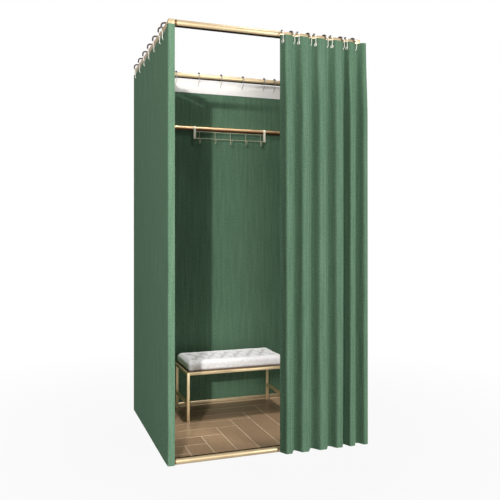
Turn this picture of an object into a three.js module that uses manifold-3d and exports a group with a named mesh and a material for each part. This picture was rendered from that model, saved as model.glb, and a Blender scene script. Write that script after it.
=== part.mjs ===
// Portable fitting room: a tube frame with hook-hung curtains, a clothes rail with a hook rack,
// a floor panel and a small tufted bench. Millimetres, +Z up, +X to the right, the doorway faces -Y.
// The origin is on the floor, at the centre of the whole object's box.

import * as THREE from "three";
import { RoundedBoxGeometry } from "three/addons/geometries/RoundedBoxGeometry.js";
import { mergeVertices } from "three/addons/utils/BufferGeometryUtils.js";
import Module from "manifold-3d";

const wasm = await Module();
wasm.setup();

// Room
const roomWidth = 970; // across the outer faces of the side curtains
const roomDepth = 950; // from the frame's front face to the rear curtain's outer face
const roomHeight = 2000; // to the top of the corner connectors

// Tubes and connectors
const topTubeRadius = 17;
const postRadius = 14;
const floorTubeRadius = 13.5;
const tubeWall = 1.2;
const topCornerSide = 36;
const returnWidth = 32; // of the side curtains' strips across the front posts
const floorCornerSide = 30;
const floorCornerHeight = 34;
const cornerRound = 4;
const plugLength = 22;
const flangeLength = 6; // of the plug's stop, between a connector and a tube's end
const fitGap = 0.3; // between pieces that touch

// Flat curtains and their heading tapes
const clothThickness = 2.4;
const flatHemGap = 3; // from the floor to the flat curtains' lower edge
const eyeletSlack = 1.8; // between a hook's wire and its eyelet, all round
const eyeletDropShare = 0.4; // of the slack, so that the cloth hangs from the wire
const tapeThickness = 1.2;
const tapeHeight = 79;
const tapeEndGap = 20; // from a post's axis to the tape's end

// Curtain hooks
const hookWireRadius = 1.7;
const flatTipRadius = 6;
const flatBeadRadius = 3.2;
const frontTipRadius = 10;
const frontBeadRadius = 3.8;
const shoulderDrop = 3; // from the rail's axis to the bend at the top of the hook's front leg
const hookBowSlack = 0.9; // between the hook's bow and the rail, all round
const hookDrop = 44; // from the rail's axis to the centre of the hook's tip
const beadLength = 10;
const firstHookPlace = 75; // from the first post's axis
const edgeHookPitch = 70; // from the first hook to the second
const lastSideHookPlace = 69; // from the last post's axis, on a side rail
const lastRearHookPlace = 89;
const flatHookCount = 7;

// Front curtain
const gatheredWidth = 443;
const valleyGap = 6; // from the frame's front face to the cloth in a valley
const pleatDepth = 45;
const foldSway = 4;
const frontTopDrop = 10; // from the rail's axis down to the curtain's upper edge
const frontHemGap = 8;
const crestHookShare = 0.6; // how far to the left of its crest a hook sits, as a share of half a pleat
const valleyHookShare = 0.05;
const crestHookTurn = THREE.MathUtils.degToRad(-13);
const valleyHookTurn = THREE.MathUtils.degToRad(8);

// Floor panel
const panelThickness = 5;
const panelGap = 0.8; // to the floor connectors

// Clothes rail
const clothesRailRadius = 12.5;
const clothesRailDrop = 315; // from the top rails' axes to its own
const collarRadius = 15;
const collarLength = 20;

// Hook rack
const rackRightGap = 145.5; // from the right strap's middle to the right rail's axis
const rackLength = 447; // between the straps' centres
const strapWidth = 15;
const strapThickness = 2;
const strapBack = 8; // how far the strap reaches down behind the rail
const strapFront = 64; // how far it reaches down in front
const strapInset = 2; // from the lower wire to the strap's lower edge
const rackWireRadius = 1.6;
const upperWireDrop = 19; // from the rail's axis
const rackHookCount = 5;
const rackHookPitch = 98;
const rackHookReach = 24;
const rackHookBottom = 90; // from the rail's axis to the bottom of the hook
const rackHookTipRise = 8;
const hookBallRadius = 3;

// Bench
const benchLength = 585;
const benchDepth = 290;
const benchRightGap = 132.5; // from the bench's right end to the right rail's axis
const benchRearGap = 38; // from the bench's back to the rear rail's axis
const benchTube = 16;
const benchWall = 1.2;
const benchFrameHeight = 267;
const stretcherHeight = 95; // to the stretcher's middle
const boardThickness = 6;
const boardInset = 8;
const cushionOverhang = 3; // how far the cushion's middle stands past the board's frame
const cushionSide = 40; // height of the cushion's side
const cushionCrown = 12;
const cushionDraw = 9; // how far the cushion's upper edge is drawn in
const tuftPitch = 78;
const tuftDepth = 8;
const tuftRadius = 22;

// Frame places
const topCornerHalf = topCornerSide / 2;
const floorCornerHalf = floorCornerSide / 2;
const clothOffset = topCornerHalf - clothThickness / 2; // from a rail's axis to the middle of a flat curtain
const hookBowRadius = topTubeRadius + fitGap + hookWireRadius + hookBowSlack;
const hookProud = clothOffset + flatTipRadius + flatBeadRadius - topCornerHalf;
const hemFlareShare = 1.05;
const curtainReach = valleyGap + pleatDepth * hemFlareShare + clothThickness / 2;
const frontFace = curtainReach - (curtainReach + roomDepth + hookProud) / 2;
const rearFace = frontFace + roomDepth;
const frontAxis = frontFace + topCornerHalf;
const rearAxis = rearFace - topCornerHalf;
const sideAxis = roomWidth / 2 - topCornerHalf;
const topAxis = roomHeight - topCornerHalf;
const clothesRailHeight = topAxis - clothesRailDrop;
const rackCentre = sideAxis - rackRightGap - rackLength / 2;
const benchCentre = sideAxis - benchRightGap - benchLength / 2;
const flatCurtainTop = roomHeight - topCornerSide - fitGap;
const eyeletRadius = hookWireRadius + eyeletSlack;
const eyeletDrop = hookDrop + eyeletSlack * eyeletDropShare;
const flatEyeletHeight = topAxis - eyeletDrop - flatTipRadius;
const frontEyeletHeight = topAxis - eyeletDrop - frontTipRadius;

// Mesh fineness
const tubeSides = 16;
const plugSides = 12;
const wireSides = 5;
const rackWireSides = 6;
const holeSides = 8;
const cornerSegments = 1;
const mergeTolerance = 1e-3;
const cutOverrun = 5;

// Materials
const finish = (color, roughness, metalness) =>
  new THREE.MeshStandardMaterial({ color, roughness, metalness });
const champagne = finish(0xd9c18c, 0.3, 0.9);
const curtainGreen = finish(0x4f7657, 0.9, 0);
const tapeWhite = finish(0xe6e2dd, 0.85, 0);
const bronze = finish(0x6b5236, 0.35, 0.9);
const rackWhite = finish(0xe9e3d8, 0.4, 0.2);
const floorBrown = finish(0x8a6b50, 0.45, 0);
const boardBrown = finish(0x5c4636, 0.8, 0);
const cushionWhite = finish(0xdcd9d8, 0.8, 0);

const room = new THREE.Group();

function addPiece(name, geometry, material, x = 0, y = 0, z = 0) {
  const mesh = new THREE.Mesh(geometry, material);
  mesh.name = name;
  mesh.position.set(x, y, z);
  room.add(mesh);
  return mesh;
}

// Booleans on closed meshes
function solidOf(geometry) {
  const bare = geometry.clone();
  bare.deleteAttribute("normal");
  bare.deleteAttribute("uv");
  const merged = mergeVertices(bare, mergeTolerance);
  const vertProperties = new Float32Array(merged.attributes.position.array);
  const triVerts = new Uint32Array(merged.index.array);
  return new wasm.Manifold(new wasm.Mesh({ numProp: 3, vertProperties, triVerts }));
}

function geometryOf(solid) {
  const mesh = solid.getMesh();
  const geometry = new THREE.BufferGeometry();
  geometry.setAttribute("position", new THREE.BufferAttribute(new Float32Array(mesh.vertProperties), 3));
  geometry.setIndex(Array.from(mesh.triVerts));
  geometry.computeVertexNormals();
  return geometry;
}

function meshFrom(points, triangles) {
  const geometry = new THREE.BufferGeometry();
  const positions = points.flatMap((p) => [p.x, p.y, p.z]);
  geometry.setAttribute("position", new THREE.Float32BufferAttribute(positions, 3));
  geometry.setIndex(triangles.flat());
  geometry.computeVertexNormals();
  return geometry;
}

// A cylinder along X, Y or Z
function cylinder(axis, radius, length, sides) {
  const geometry = new THREE.CylinderGeometry(radius, radius, length, sides);
  if (axis === "x") geometry.rotateZ(-Math.PI / 2);
  if (axis === "z") geometry.rotateX(Math.PI / 2);
  return geometry;
}

// An open-ended tube along X, Y or Z, as a ring turned round its axis
function tube(axis, radius, length) {
  const inner = radius - tubeWall;
  const half = length / 2;
  const profile = [
    [inner, -half],
    [radius, -half],
    [radius, half],
    [inner, half],
    [inner, -half],
  ].map(([x, y]) => new THREE.Vector2(x, y));
  const geometry = new THREE.LatheGeometry(profile, tubeSides);
  if (axis === "x") geometry.rotateZ(-Math.PI / 2);
  if (axis === "z") geometry.rotateX(Math.PI / 2);
  return geometry;
}

// An open-ended square tube along X, Y or Z
function squareTube(axis, side, wall, length) {
  const square = (half) =>
    [
      [-half, -half],
      [half, -half],
      [half, half],
      [-half, half],
    ].map(([x, y]) => new THREE.Vector2(x, y));
  const outline = new THREE.Shape(square(side / 2));
  outline.holes.push(new THREE.Path(square(side / 2 - wall)));
  const geometry = new THREE.ExtrudeGeometry(outline, { depth: length, bevelEnabled: false });
  geometry.translate(0, 0, -length / 2);
  if (axis === "x") geometry.rotateY(Math.PI / 2);
  if (axis === "y") geometry.rotateX(Math.PI / 2);
  return geometry;
}

// Wire along points in the YZ plane, round or changing in radius, closed to a loop or capped at its ends
function wire(points, radii, sides, closed) {
  const count = points.length;
  const across = new THREE.Vector3(1, 0, 0);
  const vertices = [];
  points.forEach((point, i) => {
    const before = closed ? points[(i + count - 1) % count] : points[Math.max(i - 1, 0)];
    const after = closed ? points[(i + 1) % count] : points[Math.min(i + 1, count - 1)];
    const along = after.clone().sub(before).normalize();
    const outward = along.clone().cross(across);
    for (let k = 0; k < sides; k += 1) {
      const angle = (k / sides) * 2 * Math.PI;
      const spoke = outward.clone().multiplyScalar(Math.cos(angle)).addScaledVector(across, Math.sin(angle));
      vertices.push(point.clone().addScaledVector(spoke, radii[i]));
    }
  });
  const triangles = [];
  const spans = closed ? count : count - 1;
  for (let i = 0; i < spans; i += 1) {
    const next = (i + 1) % count;
    for (let k = 0; k < sides; k += 1) {
      const side = (k + 1) % sides;
      const [a, b] = [i * sides + k, i * sides + side];
      const [c, d] = [next * sides + k, next * sides + side];
      triangles.push([a, d, b], [a, c, d]);
    }
  }
  if (!closed) {
    const last = (count - 1) * sides;
    for (let k = 1; k < sides - 1; k += 1) {
      triangles.push([0, k, k + 1], [last, last + k + 1, last + k]);
    }
  }
  return meshFrom(vertices, triangles);
}

// Corner connectors with a plug for each tube that meets there
function corner(side, height, plugs) {
  const box = new RoundedBoxGeometry(side, side, height, cornerSegments, cornerRound);
  let solid = solidOf(box);
  for (const plug of plugs) {
    const flangeReach = plug.reach + flangeLength;
    const steps = [
      { radius: plug.radius, reach: flangeReach, sides: tubeSides },
      { radius: plug.radius - tubeWall - fitGap, reach: flangeReach + plugLength, sides: plugSides },
    ];
    for (const { radius, reach, sides } of steps) {
      const stub = cylinder(plug.axis, radius, reach, sides);
      const middle = (plug.sign * reach) / 2;
      if (plug.axis === "x") stub.translate(middle, 0, plug.lift);
      if (plug.axis === "y") stub.translate(0, middle, plug.lift);
      if (plug.axis === "z") stub.translate(0, 0, middle);
      solid = solid.add(solidOf(stub));
    }
  }
  return geometryOf(solid);
}

const cornerSites = [
  { name: "front_left", sx: -1, sy: -1, y: frontAxis },
  { name: "front_right", sx: 1, sy: -1, y: frontAxis },
  { name: "rear_left", sx: -1, sy: 1, y: rearAxis },
  { name: "rear_right", sx: 1, sy: 1, y: rearAxis },
];

function addCorners() {
  const topReach = topCornerHalf;
  const floorReach = floorCornerHalf;
  const floorLift = floorTubeRadius - floorCornerHeight / 2;
  for (const site of cornerSites) {
    const topPlugs = [
      { axis: "x", sign: -site.sx, radius: topTubeRadius, reach: topReach, lift: 0 },
      { axis: "y", sign: -site.sy, radius: topTubeRadius, reach: topReach, lift: 0 },
      { axis: "z", sign: -1, radius: postRadius, reach: topReach, lift: 0 },
    ];
    const floorPlugs = [
      { axis: "x", sign: -site.sx, radius: floorTubeRadius, reach: floorReach, lift: floorLift },
      { axis: "y", sign: -site.sy, radius: floorTubeRadius, reach: floorReach, lift: floorLift },
      { axis: "z", sign: 1, radius: postRadius, reach: floorCornerHeight / 2, lift: 0 },
    ];
    const x = site.sx * sideAxis;
    const topBlock = corner(topCornerSide, topCornerSide, topPlugs);
    addPiece(`${site.name}_top_corner`, topBlock, champagne, x, site.y, topAxis);
    const floorBlock = corner(floorCornerSide, floorCornerHeight, floorPlugs);
    addPiece(`${site.name}_floor_corner`, floorBlock, champagne, x, site.y, floorCornerHeight / 2);
  }
}

function addTubes() {
  const postFoot = floorCornerHeight + flangeLength + fitGap;
  const postHead = topAxis - topCornerHalf - flangeLength - fitGap;
  for (const site of cornerSites) {
    const post = tube("z", postRadius, postHead - postFoot);
    addPiece(`${site.name}_post`, post, champagne, site.sx * sideAxis, site.y, (postFoot + postHead) / 2);
  }
  const middleY = (frontAxis + rearAxis) / 2;
  const levels = [
    { name: "top_rail", z: topAxis, radius: topTubeRadius, half: topCornerHalf },
    { name: "floor_rail", z: floorTubeRadius, radius: floorTubeRadius, half: floorCornerHalf },
  ];
  for (const { name, z, radius, half } of levels) {
    const stop = half + flangeLength + fitGap;
    const widthRun = 2 * (sideAxis - stop);
    const depthRun = rearAxis - frontAxis - 2 * stop;
    addPiece(`front_${name}`, tube("x", radius, widthRun), champagne, 0, frontAxis, z);
    addPiece(`rear_${name}`, tube("x", radius, widthRun), champagne, 0, rearAxis, z);
    addPiece(`left_${name}`, tube("y", radius, depthRun), champagne, -sideAxis, middleY, z);
    addPiece(`right_${name}`, tube("y", radius, depthRun), champagne, sideAxis, middleY, z);
  }
}

// The floor panel reaches the floor rails, and its corners are cut out round the connectors
function addFloorPanel() {
  const railInset = Math.sqrt(floorTubeRadius ** 2 - (floorTubeRadius - panelThickness) ** 2) + fitGap;
  const cornerInset = floorCornerHalf + panelGap;
  const [axisX, axisY] = [sideAxis, (rearAxis - frontAxis) / 2];
  const [wide, narrow] = [axisX - railInset, axisX - cornerInset];
  const [deep, shallow] = [axisY - railInset, axisY - cornerInset];
  const quarter = [
    [wide, shallow],
    [narrow, shallow],
    [narrow, deep],
  ];
  const outline = [
    ...quarter,
    ...quarter.map(([x, y]) => [-x, y]).reverse(),
    ...quarter.map(([x, y]) => [-x, -y]),
    ...quarter.map(([x, y]) => [x, -y]).reverse(),
  ];
  const shape = new THREE.Shape(outline.map(([x, y]) => new THREE.Vector2(x, y)));
  const panel = new THREE.ExtrudeGeometry(shape, { depth: panelThickness, bevelEnabled: false });
  addPiece("floor_panel", panel, floorBrown, 0, (frontAxis + rearAxis) / 2);
}

// A curtain hook round a rail whose axis is X, at the origin: a bow over the rail, a leg in front of the
// cloth with a bead at its foot, and a tip that goes back through the cloth at the given distance
function hookGeometry(forward, tipRadius, beadRadius) {
  const seat = hookBowRadius - hookWireRadius - topTubeRadius - fitGap;
  const at = (y, z, radius, angle) =>
    new THREE.Vector3(0, y + radius * Math.cos(angle), z + radius * Math.sin(angle));
  const onBow = (angle) => at(0, -seat, hookBowRadius, angle);
  const onTip = (angle) => at(-forward, -hookDrop, tipRadius, angle);
  const tipWay = Math.hypot(forward, hookDrop - seat);
  const tipHeading = Math.atan2(seat - hookDrop, -forward);
  const rearTangent = tipHeading + Math.acos((hookBowRadius - tipRadius) / tipWay);
  const legY = -forward - tipRadius;
  const shoulderWay = Math.hypot(legY, shoulderDrop - seat);
  const shoulderHeading = Math.PI + Math.atan2(shoulderDrop - seat, -legY);
  const frontTangent = shoulderHeading - Math.acos(hookBowRadius / shoulderWay);
  const top = Math.PI / 2;
  const points = [];
  const radii = [];
  const put = (point, radius = hookWireRadius) => {
    points.push(point);
    radii.push(radius);
  };
  for (const share of bowRearShares) put(onBow(rearTangent + (top - rearTangent) * share));
  for (const share of bowFrontShares) put(onBow(top + (frontTangent - top) * share));
  put(new THREE.Vector3(0, legY, -shoulderDrop));
  for (const [rise, share] of beadShape) {
    const radius = hookWireRadius + (beadRadius - hookWireRadius) * share;
    put(new THREE.Vector3(0, legY, beadLength * rise - hookDrop), radius);
  }
  for (const share of tipShares) put(onTip(-Math.PI + (rearTangent + Math.PI) * share));
  return wire(points, radii, wireSides, true);
}
const bowRearShares = [0, 0.17, 0.33, 0.5, 0.67, 0.83, 1];
const bowFrontShares = [0.5, 1];
const beadShape = [
  [1, 0],
  [0.7, 1],
  [0.3, 1],
  [0, 0],
];
const tipShares = [0.35, 0.7, 1];

// Where the hooks of a flat curtain sit along their rail, from its first post's axis
function flatHookPlaces(axisRun, lastPlace) {
  const second = firstHookPlace + edgeHookPitch;
  const pitch = (axisRun - lastPlace - second) / (flatHookCount - 2);
  const places = [firstHookPlace];
  for (let i = 0; i < flatHookCount - 1; i += 1) places.push(second + i * pitch);
  return places;
}

// Flat curtains: an outline seen from above, drawn up to the rail, with an eyelet for each hook
function flatCurtain(outline, eyelets) {
  const shape = new THREE.Shape(outline.map(([x, y]) => new THREE.Vector2(x, y)));
  const height = flatCurtainTop - flatHemGap;
  const cloth = new THREE.ExtrudeGeometry(shape, { depth: height, bevelEnabled: false });
  cloth.translate(0, 0, flatHemGap);
  let solid = solidOf(cloth);
  for (const { axis, x, y } of eyelets) {
    const hole = cylinder(axis, eyeletRadius, clothThickness + 2 * cutOverrun, holeSides);
    hole.translate(x, y, flatEyeletHeight);
    solid = solid.subtract(solidOf(hole));
  }
  return geometryOf(solid);
}

// A heading tape with its hooks, for a rail along Y (side) or X (rear)
function tapeWithHooks(length, places, lean) {
  const tape = new THREE.BoxGeometry(length, tapeThickness, tapeHeight);
  const tapeOffset = clothOffset - clothThickness / 2 - fitGap - tapeThickness / 2;
  tape.translate(0, -tapeOffset, flatCurtainTop - tapeHeight / 2 - topAxis);
  let solid = solidOf(tape);
  for (const place of places) {
    const hook = hookGeometry(clothOffset, flatTipRadius, flatBeadRadius);
    hook.translate(place, 0, 0);
    solid = solid.add(solidOf(hook));
  }
  const geometry = geometryOf(solid);
  geometry.rotateZ(lean);
  return geometry;
}

function addSideCurtain(side, name) {
  const outer = (side * roomWidth) / 2;
  const inner = outer - side * clothThickness;
  const lip = outer - side * returnWidth;
  const rearEdge = rearFace - clothThickness - fitGap;
  const outline = [
    [outer, frontFace],
    [lip, frontFace],
    [lip, frontFace + clothThickness],
    [inner, frontFace + clothThickness],
    [inner, rearEdge],
    [outer, rearEdge],
  ];
  const hookPlaces = flatHookPlaces(rearAxis - frontAxis, lastSideHookPlace);
  const eyelets = hookPlaces.map((place) => ({ axis: "x", x: (outer + inner) / 2, y: frontAxis + place }));
  addPiece(`${name}_curtain`, flatCurtain(outline, eyelets), curtainGreen);
  const middleY = (frontAxis + rearAxis) / 2;
  const span = rearAxis - frontAxis - 2 * tapeEndGap;
  const tapePlaces = hookPlaces.map((place) => side * (frontAxis + place - middleY));
  const tape = tapeWithHooks(span, tapePlaces, (side * Math.PI) / 2);
  addPiece(`${name}_heading_tape`, tape, tapeWhite, side * sideAxis, middleY, topAxis);
}

function addRearCurtain() {
  const half = roomWidth / 2;
  const outline = [
    [-half, rearFace - clothThickness],
    [half, rearFace - clothThickness],
    [half, rearFace],
    [-half, rearFace],
  ];
  const hookX = flatHookPlaces(2 * sideAxis, lastRearHookPlace).map((place) => sideAxis - place);
  const eyelets = hookX.map((x) => ({ axis: "y", x, y: rearFace - clothThickness / 2 }));
  addPiece("rear_curtain", flatCurtain(outline, eyelets), curtainGreen);
  const tape = tapeWithHooks(2 * (sideAxis - tapeEndGap), hookX.map((x) => -x), Math.PI);
  addPiece("rear_heading_tape", tape, tapeWhite, 0, rearAxis, topAxis);
}

// Front curtain: pleats whose centres, crest first, are shares of the gathered width
const foldShares = [0.086, 0.181, 0.282, 0.379, 0.48, 0.576, 0.679, 0.774, 0.835, 0.914, 0.989];
const columnShares = [0, 0.3, 0.44, 0.56, 0.7];
const rowShares = [0, 0.025, 0.06, 0.12, 0.22, 0.5, 0.78, 1];
const foldRoundShare = 0.55; // 1 is a plain wave, less is a squarer pleat
const topPinchShare = 0.42; // how deep a pleat is at the top, as a share of its full depth
const settleShare = 0.2; // how far down the pleats reach their full depth
const phaseStep = 0.001;
const leastPhaseGap = 0.05;
const leadEdge = roomWidth / 2 - gatheredWidth;
const frontCurtainTop = topAxis - frontTopDrop;

function foldShareAt(index) {
  const last = foldShares.length - 1;
  if (index < 0) return foldShares[0] + index * (foldShares[1] - foldShares[0]);
  if (index > last) return foldShares[last] + (index - last) * (foldShares[last] - foldShares[last - 1]);
  return foldShares[index];
}

// The phase counts half pleats: even at a crest, odd in a valley
function foldX(phase) {
  const index = Math.floor(phase);
  const share = foldShareAt(index) + (phase - index) * (foldShareAt(index + 1) - foldShareAt(index));
  return leadEdge + gatheredWidth * share;
}

function phaseAt(x) {
  const share = (x - leadEdge) / gatheredWidth;
  let index = -1;
  while (foldShareAt(index + 1) < share) index += 1;
  return index + (share - foldShareAt(index)) / (foldShareAt(index + 1) - foldShareAt(index));
}

function pleatShareAt(down) {
  const t = Math.min(down / settleShare, 1);
  const settled = topPinchShare + (1 - topPinchShare) * t * t * (3 - 2 * t);
  return settled * (1 + (hemFlareShare - 1) * down);
}

function foldY(phase, down) {
  const wave = Math.cos(phase * Math.PI);
  const slant = Math.sin(phase * Math.PI);
  const pleat = wave / Math.hypot(wave, foldRoundShare * slant);
  return frontFace - valleyGap - (pleatDepth * pleatShareAt(down) * (1 + pleat)) / 2;
}

function frontClothPoint(phase, down, side) {
  const dx = foldX(phase + phaseStep) - foldX(phase - phaseStep);
  const dy = foldY(phase + phaseStep, down) - foldY(phase - phaseStep, down);
  const run = Math.hypot(dx, dy);
  const half = (side * clothThickness) / 2;
  const sway = foldSway * down * Math.sin(down * Math.PI + phase);
  const z = frontCurtainTop - down * (frontCurtainTop - frontHemGap);
  const x = foldX(phase) + (dy / run) * half + sway * swayShareAt(phase);
  return new THREE.Vector3(x, foldY(phase, down) - (dx / run) * half, z);
}

// The sway fades out at the curtain's two edges
function swayShareAt(phase) {
  const across = (foldX(phase) - leadEdge) / gatheredWidth;
  return Math.max(4 * across * (1 - across), 0);
}

function frontCurtainPhases() {
  const first = phaseAt(leadEdge);
  const last = phaseAt(leadEdge + gatheredWidth);
  const phases = [first];
  for (let index = -1; index < foldShares.length; index += 1) {
    for (const share of columnShares) {
      const phase = index + share;
      if (phase > first + leastPhaseGap && phase < last - leastPhaseGap) phases.push(phase);
    }
  }
  phases.push(last);
  return phases;
}

function frontCurtainSheet() {
  const phases = frontCurtainPhases();
  const columns = phases.length;
  const rows = rowShares.length;
  const points = [];
  for (const side of [1, -1]) {
    for (const down of rowShares) {
      for (const phase of phases) points.push(frontClothPoint(phase, down, side));
    }
  }
  const at = (back, row, column) => back * rows * columns + row * columns + column;
  const triangles = [];
  const quad = (a, b, c, d) => triangles.push([a, b, c], [a, c, d]);
  for (let r = 0; r < rows - 1; r += 1) {
    for (let c = 0; c < columns - 1; c += 1) {
      quad(at(0, r, c), at(0, r + 1, c), at(0, r + 1, c + 1), at(0, r, c + 1));
      quad(at(1, r, c), at(1, r, c + 1), at(1, r + 1, c + 1), at(1, r + 1, c));
    }
  }
  for (let c = 0; c < columns - 1; c += 1) {
    quad(at(0, 0, c), at(0, 0, c + 1), at(1, 0, c + 1), at(1, 0, c));
    quad(at(0, rows - 1, c), at(1, rows - 1, c), at(1, rows - 1, c + 1), at(0, rows - 1, c + 1));
  }
  for (let r = 0; r < rows - 1; r += 1) {
    quad(at(0, r, 0), at(1, r, 0), at(1, r + 1, 0), at(0, r + 1, 0));
    const end = columns - 1;
    quad(at(0, r, end), at(0, r + 1, end), at(1, r + 1, end), at(1, r, end));
  }
  return meshFrom(points, triangles);
}

// Front hooks, the leading one first
function frontHookSites() {
  const down = (frontCurtainTop - frontEyeletHeight) / (frontCurtainTop - frontHemGap);
  return foldShares.slice(0, -1).map((_, index) => {
    const onCrest = index % 2 === 0;
    const phase = index - (onCrest ? crestHookShare : valleyHookShare);
    const x = foldX(phase);
    const forward = frontAxis - foldY(phase, down);
    return { x, forward, turn: onCrest ? crestHookTurn : valleyHookTurn };
  });
}

function addFrontCurtain() {
  let solid = solidOf(frontCurtainSheet());
  const sites = frontHookSites();
  sites.forEach(({ x, forward, turn }, index) => {
    const hole = cylinder("y", eyeletRadius, clothThickness + 2 * cutOverrun, holeSides);
    hole.translate(x, frontAxis - forward, frontEyeletHeight);
    solid = solid.subtract(solidOf(hole));
    const hook = hookGeometry(forward / Math.cos(turn), frontTipRadius, frontBeadRadius);
    const bowX = x - forward * Math.tan(turn);
    const mesh = addPiece(`front_hook_${index + 1}`, hook, bronze, bowX, frontAxis, topAxis);
    mesh.rotation.z = turn;
  });
  addPiece("front_curtain", geometryOf(solid), curtainGreen);
}

// Clothes rail with a saddle collar at each end, cut to the rear posts
function addClothesRail() {
  const run = 2 * sideAxis;
  let solid = solidOf(cylinder("x", clothesRailRadius, run, tubeSides));
  for (const side of [-1, 1]) {
    const collar = cylinder("x", collarRadius, collarLength, tubeSides);
    collar.translate(side * (sideAxis - collarLength / 2), 0, 0);
    solid = solid.add(solidOf(collar));
  }
  const bore = cylinder("x", clothesRailRadius - tubeWall, run + 2 * cutOverrun, tubeSides);
  solid = solid.subtract(solidOf(bore));
  for (const side of [-1, 1]) {
    const post = cylinder("z", postRadius + fitGap, 2 * (collarRadius + cutOverrun), tubeSides);
    post.translate(side * sideAxis, 0, 0);
    solid = solid.subtract(solidOf(post));
  }
  const pieces = solid.decompose().sort((a, b) => b.volume() - a.volume());
  addPiece("clothes_rail", geometryOf(pieces[0]), champagne, 0, rearAxis, clothesRailHeight);
}

// Hook rack: straps over the clothes rail, two wires between them and hooks in front of the wires
function strapGeometry() {
  const inner = clothesRailRadius + fitGap;
  const outer = inner + strapThickness;
  const outline = new THREE.Shape();
  outline.moveTo(inner, -strapBack);
  outline.lineTo(outer, -strapBack);
  outline.lineTo(outer, 0);
  outline.absarc(0, 0, outer, 0, Math.PI, false);
  outline.lineTo(-outer, -strapFront);
  outline.lineTo(-inner, -strapFront);
  outline.lineTo(-inner, 0);
  outline.absarc(0, 0, inner, Math.PI, 0, true);
  outline.lineTo(inner, -strapBack);
  const extrusion = { depth: strapWidth, bevelEnabled: false, curveSegments: strapSteps };
  const strap = new THREE.ExtrudeGeometry(outline, extrusion);
  strap.translate(0, 0, -strapWidth / 2);
  strap.rotateX(Math.PI / 2);
  strap.rotateZ(Math.PI / 2);
  return strap;
}
const strapSteps = 6;

function rackHookGeometry(shankTop, shankY) {
  const bend = rackHookReach / 2;
  const bendCentre = rackHookBottom - bend;
  const points = [new THREE.Vector3(0, shankY, -shankTop)];
  for (let i = 0; i <= bendSteps; i += 1) {
    const angle = (i / bendSteps) * Math.PI;
    const y = shankY - bend + bend * Math.cos(angle);
    points.push(new THREE.Vector3(0, y, -bendCentre - bend * Math.sin(angle)));
  }
  const radii = points.map(() => rackWireRadius);
  const tip = points[points.length - 1];
  const ball = [
    [rackHookTipRise, rackWireRadius],
    [rackHookTipRise + hookBallRadius * ballShoulderShare, hookBallRadius],
    [rackHookTipRise + hookBallRadius * 2 * (1 - ballShoulderShare / 2), hookBallRadius],
    [rackHookTipRise + hookBallRadius * 2, rackWireRadius],
  ];
  for (const [rise, radius] of ball) {
    points.push(tip.clone().add(new THREE.Vector3(0, 0, rise)));
    radii.push(radius);
  }
  return wire(points, radii, rackWireSides, false);
}
const bendSteps = 6;
const ballShoulderShare = 0.5;

function addHookRack() {
  const wireY = -(clothesRailRadius + fitGap + strapThickness / 2);
  const wireRun = rackLength - strapWidth - 2 * fitGap;
  const half = rackLength / 2;
  addPiece("rack_left_strap", strapGeometry(), rackWhite, rackCentre - half, rearAxis, clothesRailHeight);
  addPiece("rack_right_strap", strapGeometry(), rackWhite, rackCentre + half, rearAxis, clothesRailHeight);
  const wires = [
    ["rack_upper_wire", upperWireDrop],
    ["rack_lower_wire", strapFront - strapInset - rackWireRadius],
  ];
  for (const [name, drop] of wires) {
    const bar = cylinder("x", rackWireRadius, wireRun, rackWireSides);
    addPiece(name, bar, rackWhite, rackCentre, rearAxis + wireY, clothesRailHeight - drop);
  }
  const shankTop = upperWireDrop - rackWireRadius;
  const shankY = wireY - 2 * rackWireRadius - fitGap;
  for (let i = 0; i < rackHookCount; i += 1) {
    const x = rackCentre + (i - (rackHookCount - 1) / 2) * rackHookPitch;
    const hook = rackHookGeometry(shankTop, shankY);
    addPiece(`rack_hook_${i + 1}`, hook, rackWhite, x, rearAxis, clothesRailHeight);
  }
}

// Bench: a square-tube frame, a seat board and a tufted cushion
const benchRear = rearAxis - benchRearGap;
const benchMiddleY = benchRear - benchDepth / 2;
const benchFoot = panelThickness + fitGap;
const benchTop = benchFoot + benchFrameHeight;

function addBenchFrame() {
  const legX = benchLength / 2 - benchTube / 2;
  const legY = benchDepth / 2 - benchTube / 2;
  const longRun = benchLength - 2 * benchTube - 2 * fitGap;
  const shortRun = benchDepth - 2 * benchTube - 2 * fitGap;
  const railZ = benchTop - benchTube / 2;
  const legZ = benchFoot + benchFrameHeight / 2;
  for (const [end, sy] of [["front", -1], ["rear", 1]]) {
    const y = benchMiddleY + sy * legY;
    for (const [side, sx] of [["left", -1], ["right", 1]]) {
      const leg = squareTube("z", benchTube, benchWall, benchFrameHeight);
      addPiece(`bench_${end}_${side}_leg`, leg, champagne, benchCentre + sx * legX, y, legZ);
    }
    const rail = squareTube("x", benchTube, benchWall, longRun);
    addPiece(`bench_${end}_rail`, rail, champagne, benchCentre, y, railZ);
  }
  for (const [side, sx] of [["left", -1], ["right", 1]]) {
    const x = benchCentre + sx * legX;
    const rail = squareTube("y", benchTube, benchWall, shortRun);
    addPiece(`bench_${side}_rail`, rail, champagne, x, benchMiddleY, railZ);
    const stretcher = squareTube("y", benchTube, benchWall, shortRun);
    addPiece(`bench_${side}_stretcher`, stretcher, champagne, x, benchMiddleY, benchFoot + stretcherHeight);
  }
}

function tuftPlaces(halfLength, halfDepth) {
  const places = [];
  const most = Math.floor((halfLength - tuftRadius) / tuftPitch);
  for (const [rowShare, stagger] of tuftRowShares) {
    for (let i = -most; i <= most; i += 1) {
      const x = (i + stagger) * tuftPitch;
      if (Math.abs(x) <= halfLength - tuftRadius) places.push([x, rowShare * halfDepth]);
    }
  }
  return places;
}
const tuftRowShares = [[-0.5, 0], [0, 0.5], [0.5, 0]];

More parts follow.
